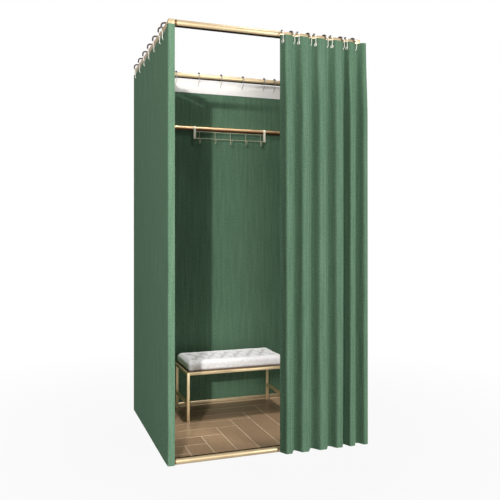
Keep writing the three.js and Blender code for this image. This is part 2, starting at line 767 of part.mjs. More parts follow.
// Height of the cushion's top over its upper edge, at shares -1 to 1 of its half length and half depth
function crownAt(xShare, yShare, x, y, tufts) {
  const inside = (1 - xShare ** crownPower) * (1 - yShare ** crownPower);
  const dip = tufts.reduce((deepest, [tx, ty]) => {
    const near = Math.hypot(x - tx, y - ty) / tuftRadius;
    return Math.max(deepest, tuftDepth * Math.exp(-tuftFalloff * near * near));
  }, 0);
  return (cushionCrown - dip) * inside;
}
const crownPower = 6;
const tuftFalloff = 2;
const cushionColumns = 26;
const cushionRows = 12;
const cornerPullShare = 0.012; // how far the corners are rounded in, as a share of the length

function cushionGeometry() {
  const halfLength = benchLength / 2 - cushionDraw;
  const halfDepth = benchDepth / 2 - cushionDraw;
  const tufts = tuftPlaces(halfLength, halfDepth);
  const pull = cornerPullShare * benchLength;
  const points = [];
  for (let j = 0; j <= cushionRows; j += 1) {
    for (let i = 0; i <= cushionColumns; i += 1) {
      const u = (2 * i) / cushionColumns - 1;
      const v = (2 * j) / cushionRows - 1;
      const corner = pull * (u * v) ** crownPower;
      const x = u * halfLength - Math.sign(u) * corner;
      const y = v * halfDepth - Math.sign(v) * corner;
      points.push(new THREE.Vector3(x, y, cushionSide + crownAt(u, v, x, y, tufts)));
    }
  }
  const at = (i, j) => j * (cushionColumns + 1) + i;
  const triangles = [];
  for (let j = 0; j < cushionRows; j += 1) {
    for (let i = 0; i < cushionColumns; i += 1) {
      triangles.push([at(i, j), at(i + 1, j), at(i + 1, j + 1)], [at(i, j), at(i + 1, j + 1), at(i, j + 1)]);
    }
  }
  const rim = [];
  for (let i = 0; i < cushionColumns; i += 1) rim.push(at(i, 0));
  for (let j = 0; j < cushionRows; j += 1) rim.push(at(cushionColumns, j));
  for (let i = cushionColumns; i > 0; i -= 1) rim.push(at(i, cushionRows));
  for (let j = cushionRows; j > 0; j -= 1) rim.push(at(0, j));
  const waist = cushionDraw + cushionOverhang;
  const rings = sideRingShares.map(([out, z]) => ({ out: waist * out, z: cushionSide * z }));
  let above = rim;
  for (const ring of rings) {
    const next = rim.map((index) => {
      const p = points[index];
      const x = p.x * (1 + ring.out / halfLength);
      const y = p.y * (1 + ring.out / halfDepth);
      points.push(new THREE.Vector3(x, y, ring.z));
      return points.length - 1;
    });
    for (let k = 0; k < rim.length; k += 1) {
      const n = (k + 1) % rim.length;
      triangles.push([above[k], next[k], next[n]], [above[k], next[n], above[n]]);
    }
    above = next;
  }
  points.push(new THREE.Vector3(0, 0, 0));
  const centre = points.length - 1;
  for (let k = 0; k < rim.length; k += 1) triangles.push([centre, above[(k + 1) % rim.length], above[k]]);
  return meshFrom(points, triangles);
}
const sideRingShares = [
  [0.7, 0.8],
  [1, 0.45],
  [0.6, 0],
];

function addBenchSeat() {
  const length = benchLength - 2 * boardInset;
  const depth = benchDepth - 2 * boardInset;
  const board = new THREE.BoxGeometry(length, depth, boardThickness);
  const boardFoot = benchTop + fitGap;
  addPiece("bench_seat_board", board, boardBrown, benchCentre, benchMiddleY, boardFoot + boardThickness / 2);
  const cushionFoot = boardFoot + boardThickness + fitGap;
  addPiece("bench_cushion", cushionGeometry(), cushionWhite, benchCentre, benchMiddleY, cushionFoot);
}

addCorners();
addTubes();
addFloorPanel();
addSideCurtain(-1, "left");
addSideCurtain(1, "right");
addRearCurtain();
addFrontCurtain();
addClothesRail();
addHookRack();
addBenchFrame();
addBenchSeat();

export default room;
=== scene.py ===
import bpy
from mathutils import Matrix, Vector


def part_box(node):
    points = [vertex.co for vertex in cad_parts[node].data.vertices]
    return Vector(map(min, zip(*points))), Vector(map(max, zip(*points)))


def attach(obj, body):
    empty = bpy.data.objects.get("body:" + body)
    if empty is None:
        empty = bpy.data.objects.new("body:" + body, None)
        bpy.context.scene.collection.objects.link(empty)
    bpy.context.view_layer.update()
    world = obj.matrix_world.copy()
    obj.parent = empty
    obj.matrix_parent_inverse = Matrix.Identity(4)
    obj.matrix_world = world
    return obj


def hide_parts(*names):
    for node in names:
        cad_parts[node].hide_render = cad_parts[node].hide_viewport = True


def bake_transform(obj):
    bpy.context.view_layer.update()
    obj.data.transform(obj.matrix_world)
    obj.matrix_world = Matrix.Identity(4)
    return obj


bl_info = {
    "name": "Portable Fitting Room",
    "version": (1, 0, 0),
    "blender": (4, 5, 0),
    "location": "View3D > Sidebar > Fitting Room",
    "description": "Dresses a tube-framed fitting room with curtains, hooks, a floor panel and a bench",
    "category": "Object",
}

import math

import bmesh
import bpy
from bpy.props import FloatProperty, FloatVectorProperty, IntProperty, PointerProperty
from mathutils import Matrix, Vector, noise

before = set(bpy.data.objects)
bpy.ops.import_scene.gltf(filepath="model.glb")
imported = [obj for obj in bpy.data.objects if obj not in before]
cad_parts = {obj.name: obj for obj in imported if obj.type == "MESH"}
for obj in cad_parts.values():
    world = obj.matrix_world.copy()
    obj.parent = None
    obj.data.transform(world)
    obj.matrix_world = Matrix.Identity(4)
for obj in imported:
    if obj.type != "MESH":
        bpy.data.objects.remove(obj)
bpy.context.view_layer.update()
MM = 0.001


def box_middle(node):
    low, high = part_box(node)
    return (low + high) / 2


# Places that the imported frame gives
LEFT_AXIS = box_middle("left_top_rail").x
RIGHT_AXIS = box_middle("right_top_rail").x
FRONT_AXIS = box_middle("front_top_rail").y
REAR_AXIS = box_middle("rear_top_rail").y
TOP_AXIS = box_middle("front_top_rail").z
TOP_TUBE_RADIUS = (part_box("front_top_rail")[1].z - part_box("front_top_rail")[0].z) / 2
CORNER_HALF = LEFT_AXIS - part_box("left_curtain")[0].x
FRONT_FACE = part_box("left_curtain")[0].y
CLOTH_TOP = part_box("left_curtain")[1].z
CLOTH_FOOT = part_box("left_curtain")[0].z
CLOTH_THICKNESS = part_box("rear_curtain")[1].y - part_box("rear_curtain")[0].y

# Sizes that several pieces share
FIT_GAP = 0.3 * MM
ROUND_SIDES = 40
CORNER_BLOCK_HALF = 15 * MM
FLOOR_CORNER_HEIGHT = 34 * MM
RAIL_RADIUS = 12.5 * MM
TAPE_HEIGHT = 79 * MM
HEM_RISE = 0.5 * MM


def linear(*rgb):
    """A colour of 0 to 255 as Blender's linear values."""
    shares = [value / 255 for value in rgb]
    return tuple(c / 12.92 if c <= 0.04045 else ((c + 0.055) / 1.055) ** 2.4 for c in shares)


def a_colour(text, *rgb):
    return FloatVectorProperty(name=text, subtype="COLOR", size=3, min=0, max=1, default=linear(*rgb))


def a_length(text, millimetres):
    return FloatProperty(name=text, subtype="DISTANCE", unit="LENGTH", default=millimetres * MM)


def an_angle(text, degrees):
    return FloatProperty(name=text, subtype="ANGLE", default=math.radians(degrees))


def a_power(text, watts):
    return FloatProperty(name=text, unit="POWER", default=watts)


class CurtainSettings(bpy.types.PropertyGroup):
    cloth_colour: a_colour("Green curtain cloth", 94, 121, 99)
    cloth_shade: a_colour("Darker threads of the curtain cloth", 74, 102, 80)
    tape_colour: a_colour("Heading tapes", 236, 232, 228)
    sheet_thickness: a_length("Thickness of the curtain cloth", 1.8)
    billow: a_length("How far the flat curtains stand out between their hooks", 2.0)
    hem_width: a_length("Width of the hems", 28)
    return_width: a_length("Width of the side curtains' strips across the front posts", 32)
    thread_pitch: a_length("Distance between the cloth's threads", 1.6)
    gathered_width: a_length("Width of the drawn front curtain", 443)
    valley_gap: a_length("From the frame's front face to the cloth in a valley", 6)
    pleat_depth: a_length("Depth of the front curtain's pleats", 45)


class HookSettings(bpy.types.PropertyGroup):
    wire_radius: a_length("Radius of the curtain hooks' wire at the bow", 4)
    leg_share: FloatProperty(name="Thickness of a hook's leg as a share of the bow's", default=0.36)
    bow_slack: a_length("Between the hook's bow and the rail", 1)
    drop: a_length("From the rail's axis to the middle of the hook's tip", 50)
    flat_tip: a_length("Radius of the tip of a flat curtain's hook", 6)
    front_tip: a_length("Radius of the tip of a front hook", 8)
    front_drop: a_length("From the rail's axis to the middle of a front hook's tip", 33)
    bulge: a_length("How far a side hook's bow stands out past its leg", 6)
    shoulder_drop: a_length("From the rail's axis to the bend over the front leg", 3)
    first_place: a_length("From the first post's axis to the first hook", 75)
    edge_pitch: a_length("From the first hook to the second", 70)
    last_side_place: a_length("From a side rail's last hook to the last post's axis", 69)
    last_rear_place: a_length("From the rear rail's last hook to the last post's axis", 89)
    count: IntProperty(name="Hooks of a flat curtain", default=7, min=3)
    bronze: a_colour("The hooks' bows", 54, 36, 25)
    # painted shade: the rear hooks' legs are a darker copy of the legs' enamel
    shaded_rear_enamel: a_colour("The rear hooks' legs", 176, 172, 164)
    enamel: a_colour("The hooks' legs", 236, 232, 222)


class MetalSettings(bpy.types.PropertyGroup):
    gold: a_colour("Champagne tubes", 184, 165, 132)
    gold_shade: a_colour("Streaks in the tubes", 158, 137, 104)
    # painted shade: the top rails' underside is darkened in this colour; the plug stops also use it for their
    # random darker tone
    underside_shade_and_stop_tone: a_colour("The top rails' dark underside", 36, 22, 10)
    bench: a_colour("The bench's tubes", 234, 212, 170)
    bench_shade: a_colour("Streaks in the bench's tubes", 208, 184, 142)
    rail: a_colour("Clothes rail", 216, 180, 138)
    rail_shade: a_colour("Streaks in the clothes rail", 182, 144, 104)
    # painted shade: the clothes rail's darker underside
    rail_painted_shade: a_colour("The clothes rail's darker underside", 112, 70, 44)
    flange: a_colour("The plugs' stops", 140, 104, 56)
    rack_wire: a_colour("The hook rack's wires and hooks", 158, 154, 126)
    rack_white: a_colour("The hook rack's straps", 232, 224, 204)


class FloorSettings(bpy.types.PropertyGroup):
    plank_width: a_length("Width of a plank", 112)
    plank_count: IntProperty(name="A plank's length in widths", default=5, min=2)
    joint: a_length("Width of the light joints between the planks", 4)
    # painted shadow: a near-black strip along the panel's front, behind the sill
    painted_shadow_strip: a_length("Depth of the panel's dark front edge", 64)
    plank_colour: a_colour("Planks", 164, 135, 106)
    plank_shade: a_colour("Grain of the planks", 132, 106, 83)
    joint_colour: a_colour("Joints between the planks", 216, 196, 168)
    # painted shadow colour of that strip
    painted_shadow_colour: a_colour("The panel's dark front edge", 22, 12, 8)


class BenchSettings(bpy.types.PropertyGroup):
    cover: a_colour("The cushion's cover", 248, 245, 245)
    cover_shade: a_colour("Darker threads of the cover", 226, 221, 221)
    # painted shade in the tufts and creases of the cover
    crease: a_colour("The cover in the tufts and creases", 168, 162, 162)
    board: a_colour("The seat board", 104, 82, 62)
    crown: a_length("How far the cushion's top swells", 12)
    tuft_pitch: a_length("Distance between tufts in a row", 78)
    tuft_depth: a_length("Depth of the tufts", 13)
    crease_depth: a_length("Depth of the creases between the tufts", 8)
    tuft_radius: a_length("Reach of a tuft's dip", 28)


class StageSettings(bpy.types.PropertyGroup):
    camera_x: a_length("Place of the camera along X", -1070)
    camera_y: a_length("Place of the camera along Y", -3210.8)
    camera_z: a_length("Height of the camera", 1048)
    camera_turn: an_angle("Turn of the camera to the right of +Y", 19.41)
    lens: FloatProperty(name="Focal length", unit="CAMERA", default=45.33)
    shift_y: FloatProperty(name="Vertical shift of the lens", default=-0.0374)
    key_power: a_power("Key lamp", 2150)
    key_away: a_length("From the left front post to the key lamp", 8000)
    key_cut: an_angle("Where the key's light ends, to the right of +Y", 28.0)
    key_turn: an_angle("Turn of the key's light to the right of +Y", 25.1)
    key_drop: an_angle("How steeply the key's light falls", 9)
    fill_power: a_power("Fill lamp, right of the doorway", 740)
    front_power: a_power("Lamp left of the doorway", 76)
    left_power: a_power("Lamp over the left side", 9)
    top_power: a_power("Lamp over the bench", 520)
    tape_power: a_power("Lamp over the rear tape", 7.2)
    low_power: a_power("Lamp before the bench", 1.1)
    back_power: a_power("Lamp behind", 130)
    world_level: FloatProperty(name="Level of the surrounding light", default=0.13)


class FittingRoomSettings(bpy.types.PropertyGroup):
    curtain: PointerProperty(type=CurtainSettings)
    hook: PointerProperty(type=HookSettings)
    metal: PointerProperty(type=MetalSettings)
    floor: PointerProperty(type=FloorSettings)
    bench: PointerProperty(type=BenchSettings)
    stage: PointerProperty(type=StageSettings)


def settings():
    return bpy.context.scene.fitting_room


# Editing helpers
def deselect_all():
    bpy.ops.object.select_all(action="DESELECT")


def make_active(obj):
    deselect_all()
    obj.select_set(True)
    bpy.context.view_layer.objects.active = obj


def active():
    return bpy.context.view_layer.objects.active


def edit(obj, select="DESELECT"):
    make_active(obj)
    bpy.ops.object.mode_set(mode="EDIT")
    bpy.ops.mesh.select_all(action=select)


def leave():
    bpy.ops.object.mode_set(mode="OBJECT")


def pick_faces(obj, test):
    """Selects the faces whose normal passes the test."""
    bpy.ops.mesh.select_mode(type="FACE")
    mesh = bmesh.from_edit_mesh(obj.data)
    for face in mesh.faces:
        face.select_set(test(face.normal))
    bmesh.update_edit_mesh(obj.data)


def apply_modifier(obj, kind, **values):
    make_active(obj)
    modifier = obj.modifiers.new(kind.title(), kind)
    for key, value in values.items():
        setattr(modifier, key, value)
    bpy.ops.object.modifier_apply(modifier=modifier.name)


def bevel(obj, width, segments=2, degrees=30):
    """Rounds the edges that are sharper than an angle."""
    turn = math.radians(degrees)
    apply_modifier(obj, "BEVEL", width=width, segments=segments, limit_method="ANGLE", angle_limit=turn)


def settle(obj, name):
    """Applies the object's place, so that it sits at the origin, and names it."""
    make_active(obj)
    bpy.ops.object.transform_apply(location=True, rotation=True, scale=True)
    obj.name = name
    obj.data.name = name
    return obj


def dress(obj, name, material, body, nodes=(), angle=32):
    """Names, shades and clothes a finished piece, puts it under its body's empty and hides the CAD parts that
    it replaces.
    """
    settle(obj, name)
    bpy.ops.object.shade_smooth_by_angle(angle=math.radians(angle))
    if material:
        clothe(obj, [material])
    if body:
        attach(obj, body)
    if nodes:
        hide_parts(*nodes)
    return obj


def clothe(obj, materials, index=0):
    """Gives a piece its materials, and all its faces the one at an index."""
    obj.data.materials.clear()
    for material in materials:
        obj.data.materials.append(material)
    obj.data.polygons.foreach_set("material_index", [index] * len(obj.data.polygons))


def once(store, name, make, *values):
    """What Blender's data has under a name, made the first time that it is asked for."""
    return store.get(name) or make(name, *values)


def face_out(obj):
    edit(obj, "SELECT")
    bpy.ops.mesh.remove_doubles(threshold=0.01 * MM)
    bpy.ops.mesh.normals_make_consistent(inside=False)
    leave()


def copy_of(obj, name):
    twin = obj.copy()
    twin.data = obj.data.copy()
    twin.name = name
    bpy.context.scene.collection.objects.link(twin)
    return twin


def joined(pieces):
    deselect_all()
    for piece in pieces:
        piece.select_set(True)
    bpy.context.view_layer.objects.active = pieces[0]
    bpy.ops.object.join()
    return pieces[0]


def added(name, shape, **values):
    """Adds one of Blender's own shapes, such as a cube."""
    deselect_all()
    getattr(bpy.ops.mesh, f"primitive_{shape}_add")(**values)
    return settle(active(), name)


def cylinder(name, axis, radius, length, middle):
    """A cylinder along X, Y or Z."""
    turn = {"x": (0, math.radians(90), 0), "y": (math.radians(90), 0, 0), "z": (0, 0, 0)}[axis]
    return added(
        name, "cylinder", vertices=ROUND_SIDES, radius=radius, depth=length, location=middle, rotation=turn
    )


def ball(name, radius, middle, segments, rings):
    return added(name, "uv_sphere", segments=segments, ring_count=rings, radius=radius, location=middle)


def plain_block(low, high, name="Block"):
    return added(name, "cube", size=1, location=(low + high) / 2, scale=high - low)


def block(low, high, width, segments=3):
    """A block between two corners with rounded edges."""
    obj = plain_block(low, high)
    bevel(obj, width, segments)
    return obj


def wire(points, radius, closed, sides=3, thickness=None):
    """A round wire along points, as a mesh. Its thickness can change along it, as shares of the radius."""
    deselect_all()
    bpy.ops.curve.primitive_nurbs_path_add()
    obj = active()
    obj.data.splines.clear()
    spline = obj.data.splines.new("POLY")
    spline.points.add(len(points) - 1)
    for index, (place, point) in enumerate(zip(spline.points, points)):
        place.co = (*point, 1)
        if thickness:
            place.radius = thickness[index]
    spline.use_cyclic_u = closed
    obj.data.dimensions = "3D"
    obj.data.bevel_depth = radius
    obj.data.bevel_resolution = sides
    obj.data.use_fill_caps = True
    make_active(obj)
    bpy.ops.object.convert(target="MESH")
    return active()


def cloth_uv(obj):
    """Leaves a piece with one UV map, which its material reads in metres."""
    while obj.data.uv_layers:
        obj.data.uv_layers.remove(obj.data.uv_layers[0])
    return obj.data.uv_layers.new(name="Cloth")


def map_faces(obj, place):
    """Gives a piece a UV map in metres, where place(face, point) tells each point's place."""
    layer = cloth_uv(obj)
    for face in obj.data.polygons:
        for index in face.loop_indices:
            point = obj.data.vertices[obj.data.loops[index].vertex_index].co
            layer.data[index].uv = place(face, point)


def smooth_step(t):
    t = min(max(t, 0.0), 1.0)
    return t * t * (3 - 2 * t)


# Shader helpers
class Paint:
    """The nodes of a material, a group or the sky, with short ways to add and link them."""

    def __init__(self, tree):
        self.nodes, self.links = tree.nodes, tree.links

    def plug(self, socket, source):
        """Links a socket or sets its value. A colour of three values is made opaque."""
        if isinstance(source, bpy.types.NodeSocket):
            self.links.new(source, socket)
        else:
            socket.default_value = (*source, 1) if socket.type == "RGBA" else source

    def feed(self, made, **sources):
        """Fills a node's sockets by name, with an underscore for each space."""
        for key, source in sources.items():
            self.plug(made.inputs[key.replace("_", " ")], source)
        return made

    def node(self, kind, **values):
        made = self.nodes.new("ShaderNode" + kind)
        for key, value in values.items():
            setattr(made, key, value)
        return made

    def maths(self, operation, *sources):
        made = self.node("Math", operation=operation)
        for socket, source in zip(made.inputs, sources):
            self.plug(socket, source)
        return made.outputs[0]

    def mix(self, factor, first, second):
        """A colour between two others."""
        made = self.node("Mix", data_type="RGBA")
        for index, source in ((0, factor), (6, first), (7, second)):
            self.plug(made.inputs[index], source)
        return made.outputs[2]

    def blend(self, factor, first, second):
        """A surface between two others."""
        made = self.node("MixShader")
        for socket, source in zip(made.inputs, (factor, first, second)):
            self.plug(socket, source)
        return made.outputs[0]

    def noise(self, vector, **values):
        return self.feed(self.node("TexNoise"), Vector=vector, **values).outputs[0]

    def ramp(self, value, **values):
        """A value moved from one range to another, and kept inside it."""
        return self.feed(self.node("MapRange"), Value=value, **values).outputs[0]

    def bump(self, height, strength, distance):
        return self.feed(self.node("Bump"), Height=height, Strength=strength, Distance=distance).outputs[0]

    def split(self, vector):
        return self.feed(self.node("SeparateXYZ"), Vector=vector).outputs

    def stretch(self, vector, along_x, along_y):
        return self.feed(self.node("Mapping"), Vector=vector, Scale=(along_x, along_y, 1.0)).outputs[0]

    def group(self, group, vector, **values):
        return self.feed(self.node("Group", node_tree=group), Vector=vector, **values).outputs

    def place(self):
        """The point's own coordinates."""
        return self.node("TexCoord").outputs["Object"]

    def cloth_place(self):
        """The point on the piece's UV map, in metres."""
        return self.node("UVMap", uv_map="Cloth").outputs[0]

    def attribute(self, name):
        return self.node("Attribute", attribute_name=name).outputs["Fac"]


def new_material(name):
    """A new material, its nodes and its shader."""
    material = bpy.data.materials.new(name)
    material.use_nodes = True
    paint = Paint(material.node_tree)
    return material, paint, paint.nodes["Principled BSDF"]


def new_group(name, inputs, outputs):
    """A shader node group that works on a vector and on named numbers, and its two ends."""
    group = bpy.data.node_groups.new(name, "ShaderNodeTree")
    group.interface.new_socket("Vector", in_out="INPUT", socket_type="NodeSocketVector")
    for label, value in inputs.items():
        socket = group.interface.new_socket(label, in_out="INPUT", socket_type="NodeSocketFloat")
        socket.default_value = value
    for label in outputs:
        group.interface.new_socket(label, in_out="OUTPUT", socket_type="NodeSocketFloat")
    paint = Paint(group)
    start, end = paint.nodes.new("NodeGroupInput"), paint.nodes.new("NodeGroupOutput")
    return group, paint, start.outputs, end


def weave_group(name):
    """Crossed threads with soft unevenness, on a coordinate in metres."""
    inputs = {"Threads": 600.0, "Mottle": 120.0, "Streak": 0.4}
    group, paint, given, end = new_group(name, inputs, ("Height", "Tone"))
    across, along, _ = paint.split(given["Vector"])
    turns = paint.maths("MULTIPLY", given["Threads"], 2 * math.pi)
    warp = paint.maths("SINE", paint.maths("MULTIPLY", across, turns))
    weft = paint.maths("SINE", paint.maths("MULTIPLY", along, turns))
    cross = paint.maths("MULTIPLY_ADD", paint.maths("MULTIPLY", warp, weft), 0.5, 0.5)
    mottle = paint.noise(given["Vector"], Scale=given["Mottle"], Detail=4.0, Roughness=0.62)
    streaks = paint.noise(paint.stretch(given["Vector"], 1.0, 0.06), Scale=70.0, Detail=3.0)
    streak = paint.maths("MULTIPLY", paint.maths("SUBTRACT", streaks, 0.5), given["Streak"])
    height = paint.maths("MULTIPLY_ADD", mottle, 1.2, cross)
    paint.feed(end, Height=height, Tone=paint.maths("ADD", mottle, streak))
    return group


def brushed_group(name):
    """Fine streaks and faint smudges in metal, on object coordinates."""
    group, paint, given, end = new_group(name, {"Fineness": 900.0}, ("Streak", "Smudge"))
    streaks = paint.noise(given["Vector"], Scale=given["Fineness"], Detail=2.0)
    smudges = paint.noise(given["Vector"], Scale=14.0, Detail=3.0)
    paint.feed(end, Streak=streaks, Smudge=smudges)
    return group


def cloth_material(name, colour, shade, threads, mottle, streak, depth, sheen, crease=None):
    """Woven cloth on the piece's own UV map. A painted shade can darken the creases."""
    material, paint, shader = new_material(name)
    group = once(bpy.data.node_groups, "Thread weave", weave_group)
    weave = paint.group(group, paint.cloth_place(), Threads=threads, Mottle=mottle, Streak=streak)
    tint = paint.mix(paint.ramp(weave["Tone"], From_Min=0.3, From_Max=0.7), shade, colour)
    # painted shade: darker where the Crease attribute marks a dip
    if crease is not None:
        tint = paint.mix(paint.attribute("Crease"), tint, crease)
    paint.feed(
        shader,
        Base_Color=tint,
        Normal=paint.bump(weave["Height"], 0.35, depth),
        Roughness=0.88,
        IOR=1.4,
        Specular_IOR_Level=0.05,
        Sheen_Weight=sheen,
        Sheen_Roughness=0.45,
        Sheen_Tint=colour,
    )
    return material


def tube_material(name, colour, shade, under=None, painted_shade_height=0.0, roughness=0.44):
    """Satin metal. Below a height it can take a painted shade, a darker colour on its underside."""
    material, paint, shader = new_material(name)
    place = paint.place()
    metal = paint.group(once(bpy.data.node_groups, "Brushed streaks", brushed_group), place)
    tint = paint.mix(metal["Smudge"], shade, colour)
    # painted shade: below a height the colour turns to the dark one
    if under is not None:
        height = paint.split(place)[2]
        fade = 1.2 * MM
        above = paint.ramp(height, From_Min=painted_shade_height - fade, From_Max=painted_shade_height + fade)
        tint = paint.mix(above, under, tint)
    rough = paint.ramp(metal["Smudge"], To_Min=roughness - 0.06, To_Max=roughness + 0.1)
    normal = paint.bump(metal["Streak"], 0.12, 0.05 * MM)
    paint.feed(shader, Base_Color=tint, Roughness=rough, Normal=normal, Metallic=0.55)
    return material


def hook_material(name, bronze_foot, leg_colour):
    """Bronze on the bow, down to a height from the rail's axis, and enamel on the legs below it."""
    bronze_colour = settings().hook.bronze
    material, paint, shader = new_material(name)
    place = paint.place()
    foot = TOP_AXIS + bronze_foot
    high = paint.ramp(paint.split(place)[2], From_Min=foot, From_Max=foot + 4 * MM)
    spots = paint.noise(place, Scale=300.0, Detail=3.0)
    enamel = paint.mix(spots, [c * 0.86 for c in leg_colour], leg_colour)
    bronze = paint.mix(spots, [c * 0.6 for c in bronze_colour], bronze_colour)
    metal = paint.maths("MULTIPLY", high, 0.2)
    paint.feed(shader, Base_Color=paint.mix(high, enamel, bronze), Metallic=metal, Roughness=0.5)
    return material


def enamel_material(name, colour, roughness, specular=0.5):
    material, paint, shader = new_material(name)
    spots = paint.noise(paint.place(), Scale=260.0, Detail=4.0)
    tint = paint.mix(spots, [c * 0.88 for c in colour], colour)
    normal = paint.bump(spots, 0.15, 0.04 * MM)
    paint.feed(shader, Base_Color=tint, Normal=normal, Roughness=roughness, Specular_IOR_Level=specular)
    return material


def plank_material(name):
    """Printed wood on the planks' own UV map: U runs along a plank in metres."""
    values = settings().floor
    material, paint, shader = new_material(name)
    place = paint.stretch(paint.cloth_place(), 1.0, 11.0)
    grain = paint.noise(place, Scale=9.0, Detail=6.0, Roughness=0.6, Distortion=0.8)
    pores = paint.noise(place, Scale=60.0, Detail=3.0)
    tone = paint.maths("MULTIPLY_ADD", paint.attribute("Board"), 0.5, grain)
    tone = paint.maths("MULTIPLY_ADD", pores, 0.25, tone)
    spread = paint.ramp(tone, From_Min=0.5, From_Max=1.2)
    tint = paint.mix(spread, values.plank_shade, values.plank_colour)
    normal = paint.bump(grain, 0.2, 0.1 * MM)
    paint.feed(shader, Base_Color=tint, Normal=normal, Roughness=0.32, Specular_IOR_Level=0.3)
    return material


# Tubes and connectors
TUBE_WALL = 1.2 * MM
TUBE_EDGE = 0.4 * MM
BORE_DEPTH = 18 * MM
BLOCK_EDGE = 3 * MM
STOP_EDGE = 0.7 * MM
# where the painted shade on the top rails' underside starts, below the axis, as a share of the radius
PAINTED_SHADE_SHARE = 0.7


def make_tube(name, material, axis):
    """An open tube in a CAD tube's place, with bored ends and broken edges."""
    low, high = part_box(name)
    size = high - low
    index = "xyz".index(axis)
    obj = cylinder(name, axis, size[(index + 1) % 3] / 2, size[index], (low + high) / 2)
    along = Vector([float(k == index) for k in range(3)])
    for side in (-1, 1):
        edit(obj)
        pick_faces(obj, lambda normal: normal.dot(along) * side > 0.9)
        bpy.ops.mesh.inset(thickness=TUBE_WALL)
        bpy.ops.mesh.extrude_region_move(TRANSFORM_OT_translate={"value": -side * BORE_DEPTH * along})
        leave()
    bevel(obj, TUBE_EDGE)
    return dress(obj, f"{name}_tube", material, "frame", [name])


class FITTINGROOM_OT_tubes(bpy.types.Operator):
    """Makes the posts, the top rails and the floor rails"""

    bl_idname = "fitting_room.tubes"
    bl_label = "Frame Tubes"

    def execute(self, context):
        metal = settings().metal
        plain = tube_material("Champagne tube", metal.gold, metal.gold_shade)
        # painted shade on the top rails' underside, below this height
        under = TOP_AXIS - TOP_TUBE_RADIUS * PAINTED_SHADE_SHARE
        top = tube_material("Champagne top rail", metal.gold, metal.gold_shade, metal.underside_shade_and_stop_tone, under)
        for end in ("front", "rear"):
            for side in ("left", "right"):
                make_tube(f"{end}_{side}_post", plain, "z")
        for level, material in (("top", top), ("floor", plain)):
            for place, axis in (("front", "x"), ("rear", "x"), ("left", "y"), ("right", "y")):
                make_tube(f"{place}_{level}_rail", material, axis)
        return {"FINISHED"}


def make_corner(end, side, level, materials):
    """A connector: a rounded block with a stop for each tube that meets it."""
    name = f"{end}_{side}_{level}_corner"
    sign = (1 if side == "left" else -1, 1 if end == "front" else -1, -1 if level == "top" else 1)
    post = f"{end}_{side}_post"
    axis = box_middle(post)
    axis.z = box_middle(f"{end}_{level}_rail").z
    half = Vector([CORNER_BLOCK_HALF] * 3)
    low, high = axis - half, axis + half
    if level == "floor":
        low.z, high.z = 0, FLOOR_CORNER_HEIGHT
    body = block(low, high, BLOCK_EDGE, 4)
    clothe(body, materials)
    pieces = [body]
    for index, tube in enumerate((f"{end}_{level}_rail", f"{side}_{level}_rail", post)):
        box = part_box(tube)
        across = 0 if tube == post else 2
        radius = (box[1][across] - box[0][across]) / 2
        tube_end = (box[0] if sign[index] > 0 else box[1])[index]
        face = (high if sign[index] > 0 else low)[index]
        place = axis.copy()
        place[index] = (face + tube_end) / 2
        stop = cylinder("Stop", "xyz"[index], radius - FIT_GAP, abs(tube_end - face), place)
        bevel(stop, STOP_EDGE)
        clothe(stop, materials, 1)
        pieces.append(stop)
    return dress(joined(pieces), f"{name}_block", None, "frame", [name])


class FITTINGROOM_OT_corners(bpy.types.Operator):
    """Makes the connectors at the frame's corners"""

    bl_idname = "fitting_room.corners"
    bl_label = "Corner Connectors"

    def execute(self, context):
        metal = settings().metal
        block_finish = tube_material("Champagne block", metal.gold, metal.gold_shade, roughness=0.36)
        stop_finish = tube_material("Plug stop", metal.flange, metal.underside_shade_and_stop_tone, roughness=0.4)
        for level in ("top", "floor"):
            for end in ("front", "rear"):
                for side in ("left", "right"):
                    make_corner(end, side, level, [block_finish, stop_finish])
        return {"FINISHED"}


# Cloth
POST_BEND = 4 * MM
HEM_SLOPE = 1.5 * MM
PULL_REACH = 26 * MM
TOP_RISE = 10 * MM
TOP_FALL = 16 * MM
TOP_FALL_START = 6 * MM
TOP_FALL_RUN = 46 * MM
SCALLOP = 1.5 * MM
SCALLOPS = 7
BILLOW_START = 60 * MM
STRIP_WAVE = 0.4 * MM
REAR_BILLOW_EDGES = 14
BILLOW_SLOW_SHARE = 0.35
BILLOW_FOLD_SHARE = 0.25
PULL_SHARE = 0.6
PULL_FADE = 0.05
SIDE_GRID = (220, 150)
REAR_GRID = (200, 150)
CLOTH_ANGLE = 60


def sheet_mesh(name, columns, rows, place, flat):
    """A grid whose points are placed by place(across, down), both 0 to 1, with a UV map in metres."""
    obj = added(name, "grid", x_subdivisions=columns, y_subdivisions=rows, size=1)
    shares = [(v.co.x + 0.5, 0.5 - v.co.y) for v in obj.data.vertices]
    for vertex, (across, down) in zip(obj.data.vertices, shares):
        vertex.co = place(across, down)
    layer = cloth_uv(obj)
    for loop in obj.data.loops:
        across, down = shares[loop.vertex_index]
        layer.data[loop.index].uv = (across * flat[0], -down * flat[1])
    return obj


def thicken(obj, thickness):
    apply_modifier(obj, "SOLIDIFY", thickness=thickness, offset=0.0, use_even_offset=False)
    face_out(obj)


def hem_rise(across, down, flat):
    """A hem is two layers thick, so it stands out a little along the foot and the two edges."""
    hem = settings().curtain.hem_width
    from_foot = (1 - down) * flat[1]
    from_edge = min(across, 1 - across) * flat[0]
    low = smooth_step((hem - from_foot) / HEM_SLOPE + 0.5)
    side = smooth_step((hem * 0.5 - from_edge) / HEM_SLOPE + 0.5)
    return HEM_RISE * max(low, side)


def flat_places(run, last):
    """How far a flat curtain's hooks are from the first post's axis."""
    values = settings().hook
    second = values.first_place + values.edge_pitch
    pitch = (run - last - second) / (values.count - 2)
    return [values.first_place] + [second + k * pitch for k in range(values.count - 1)]


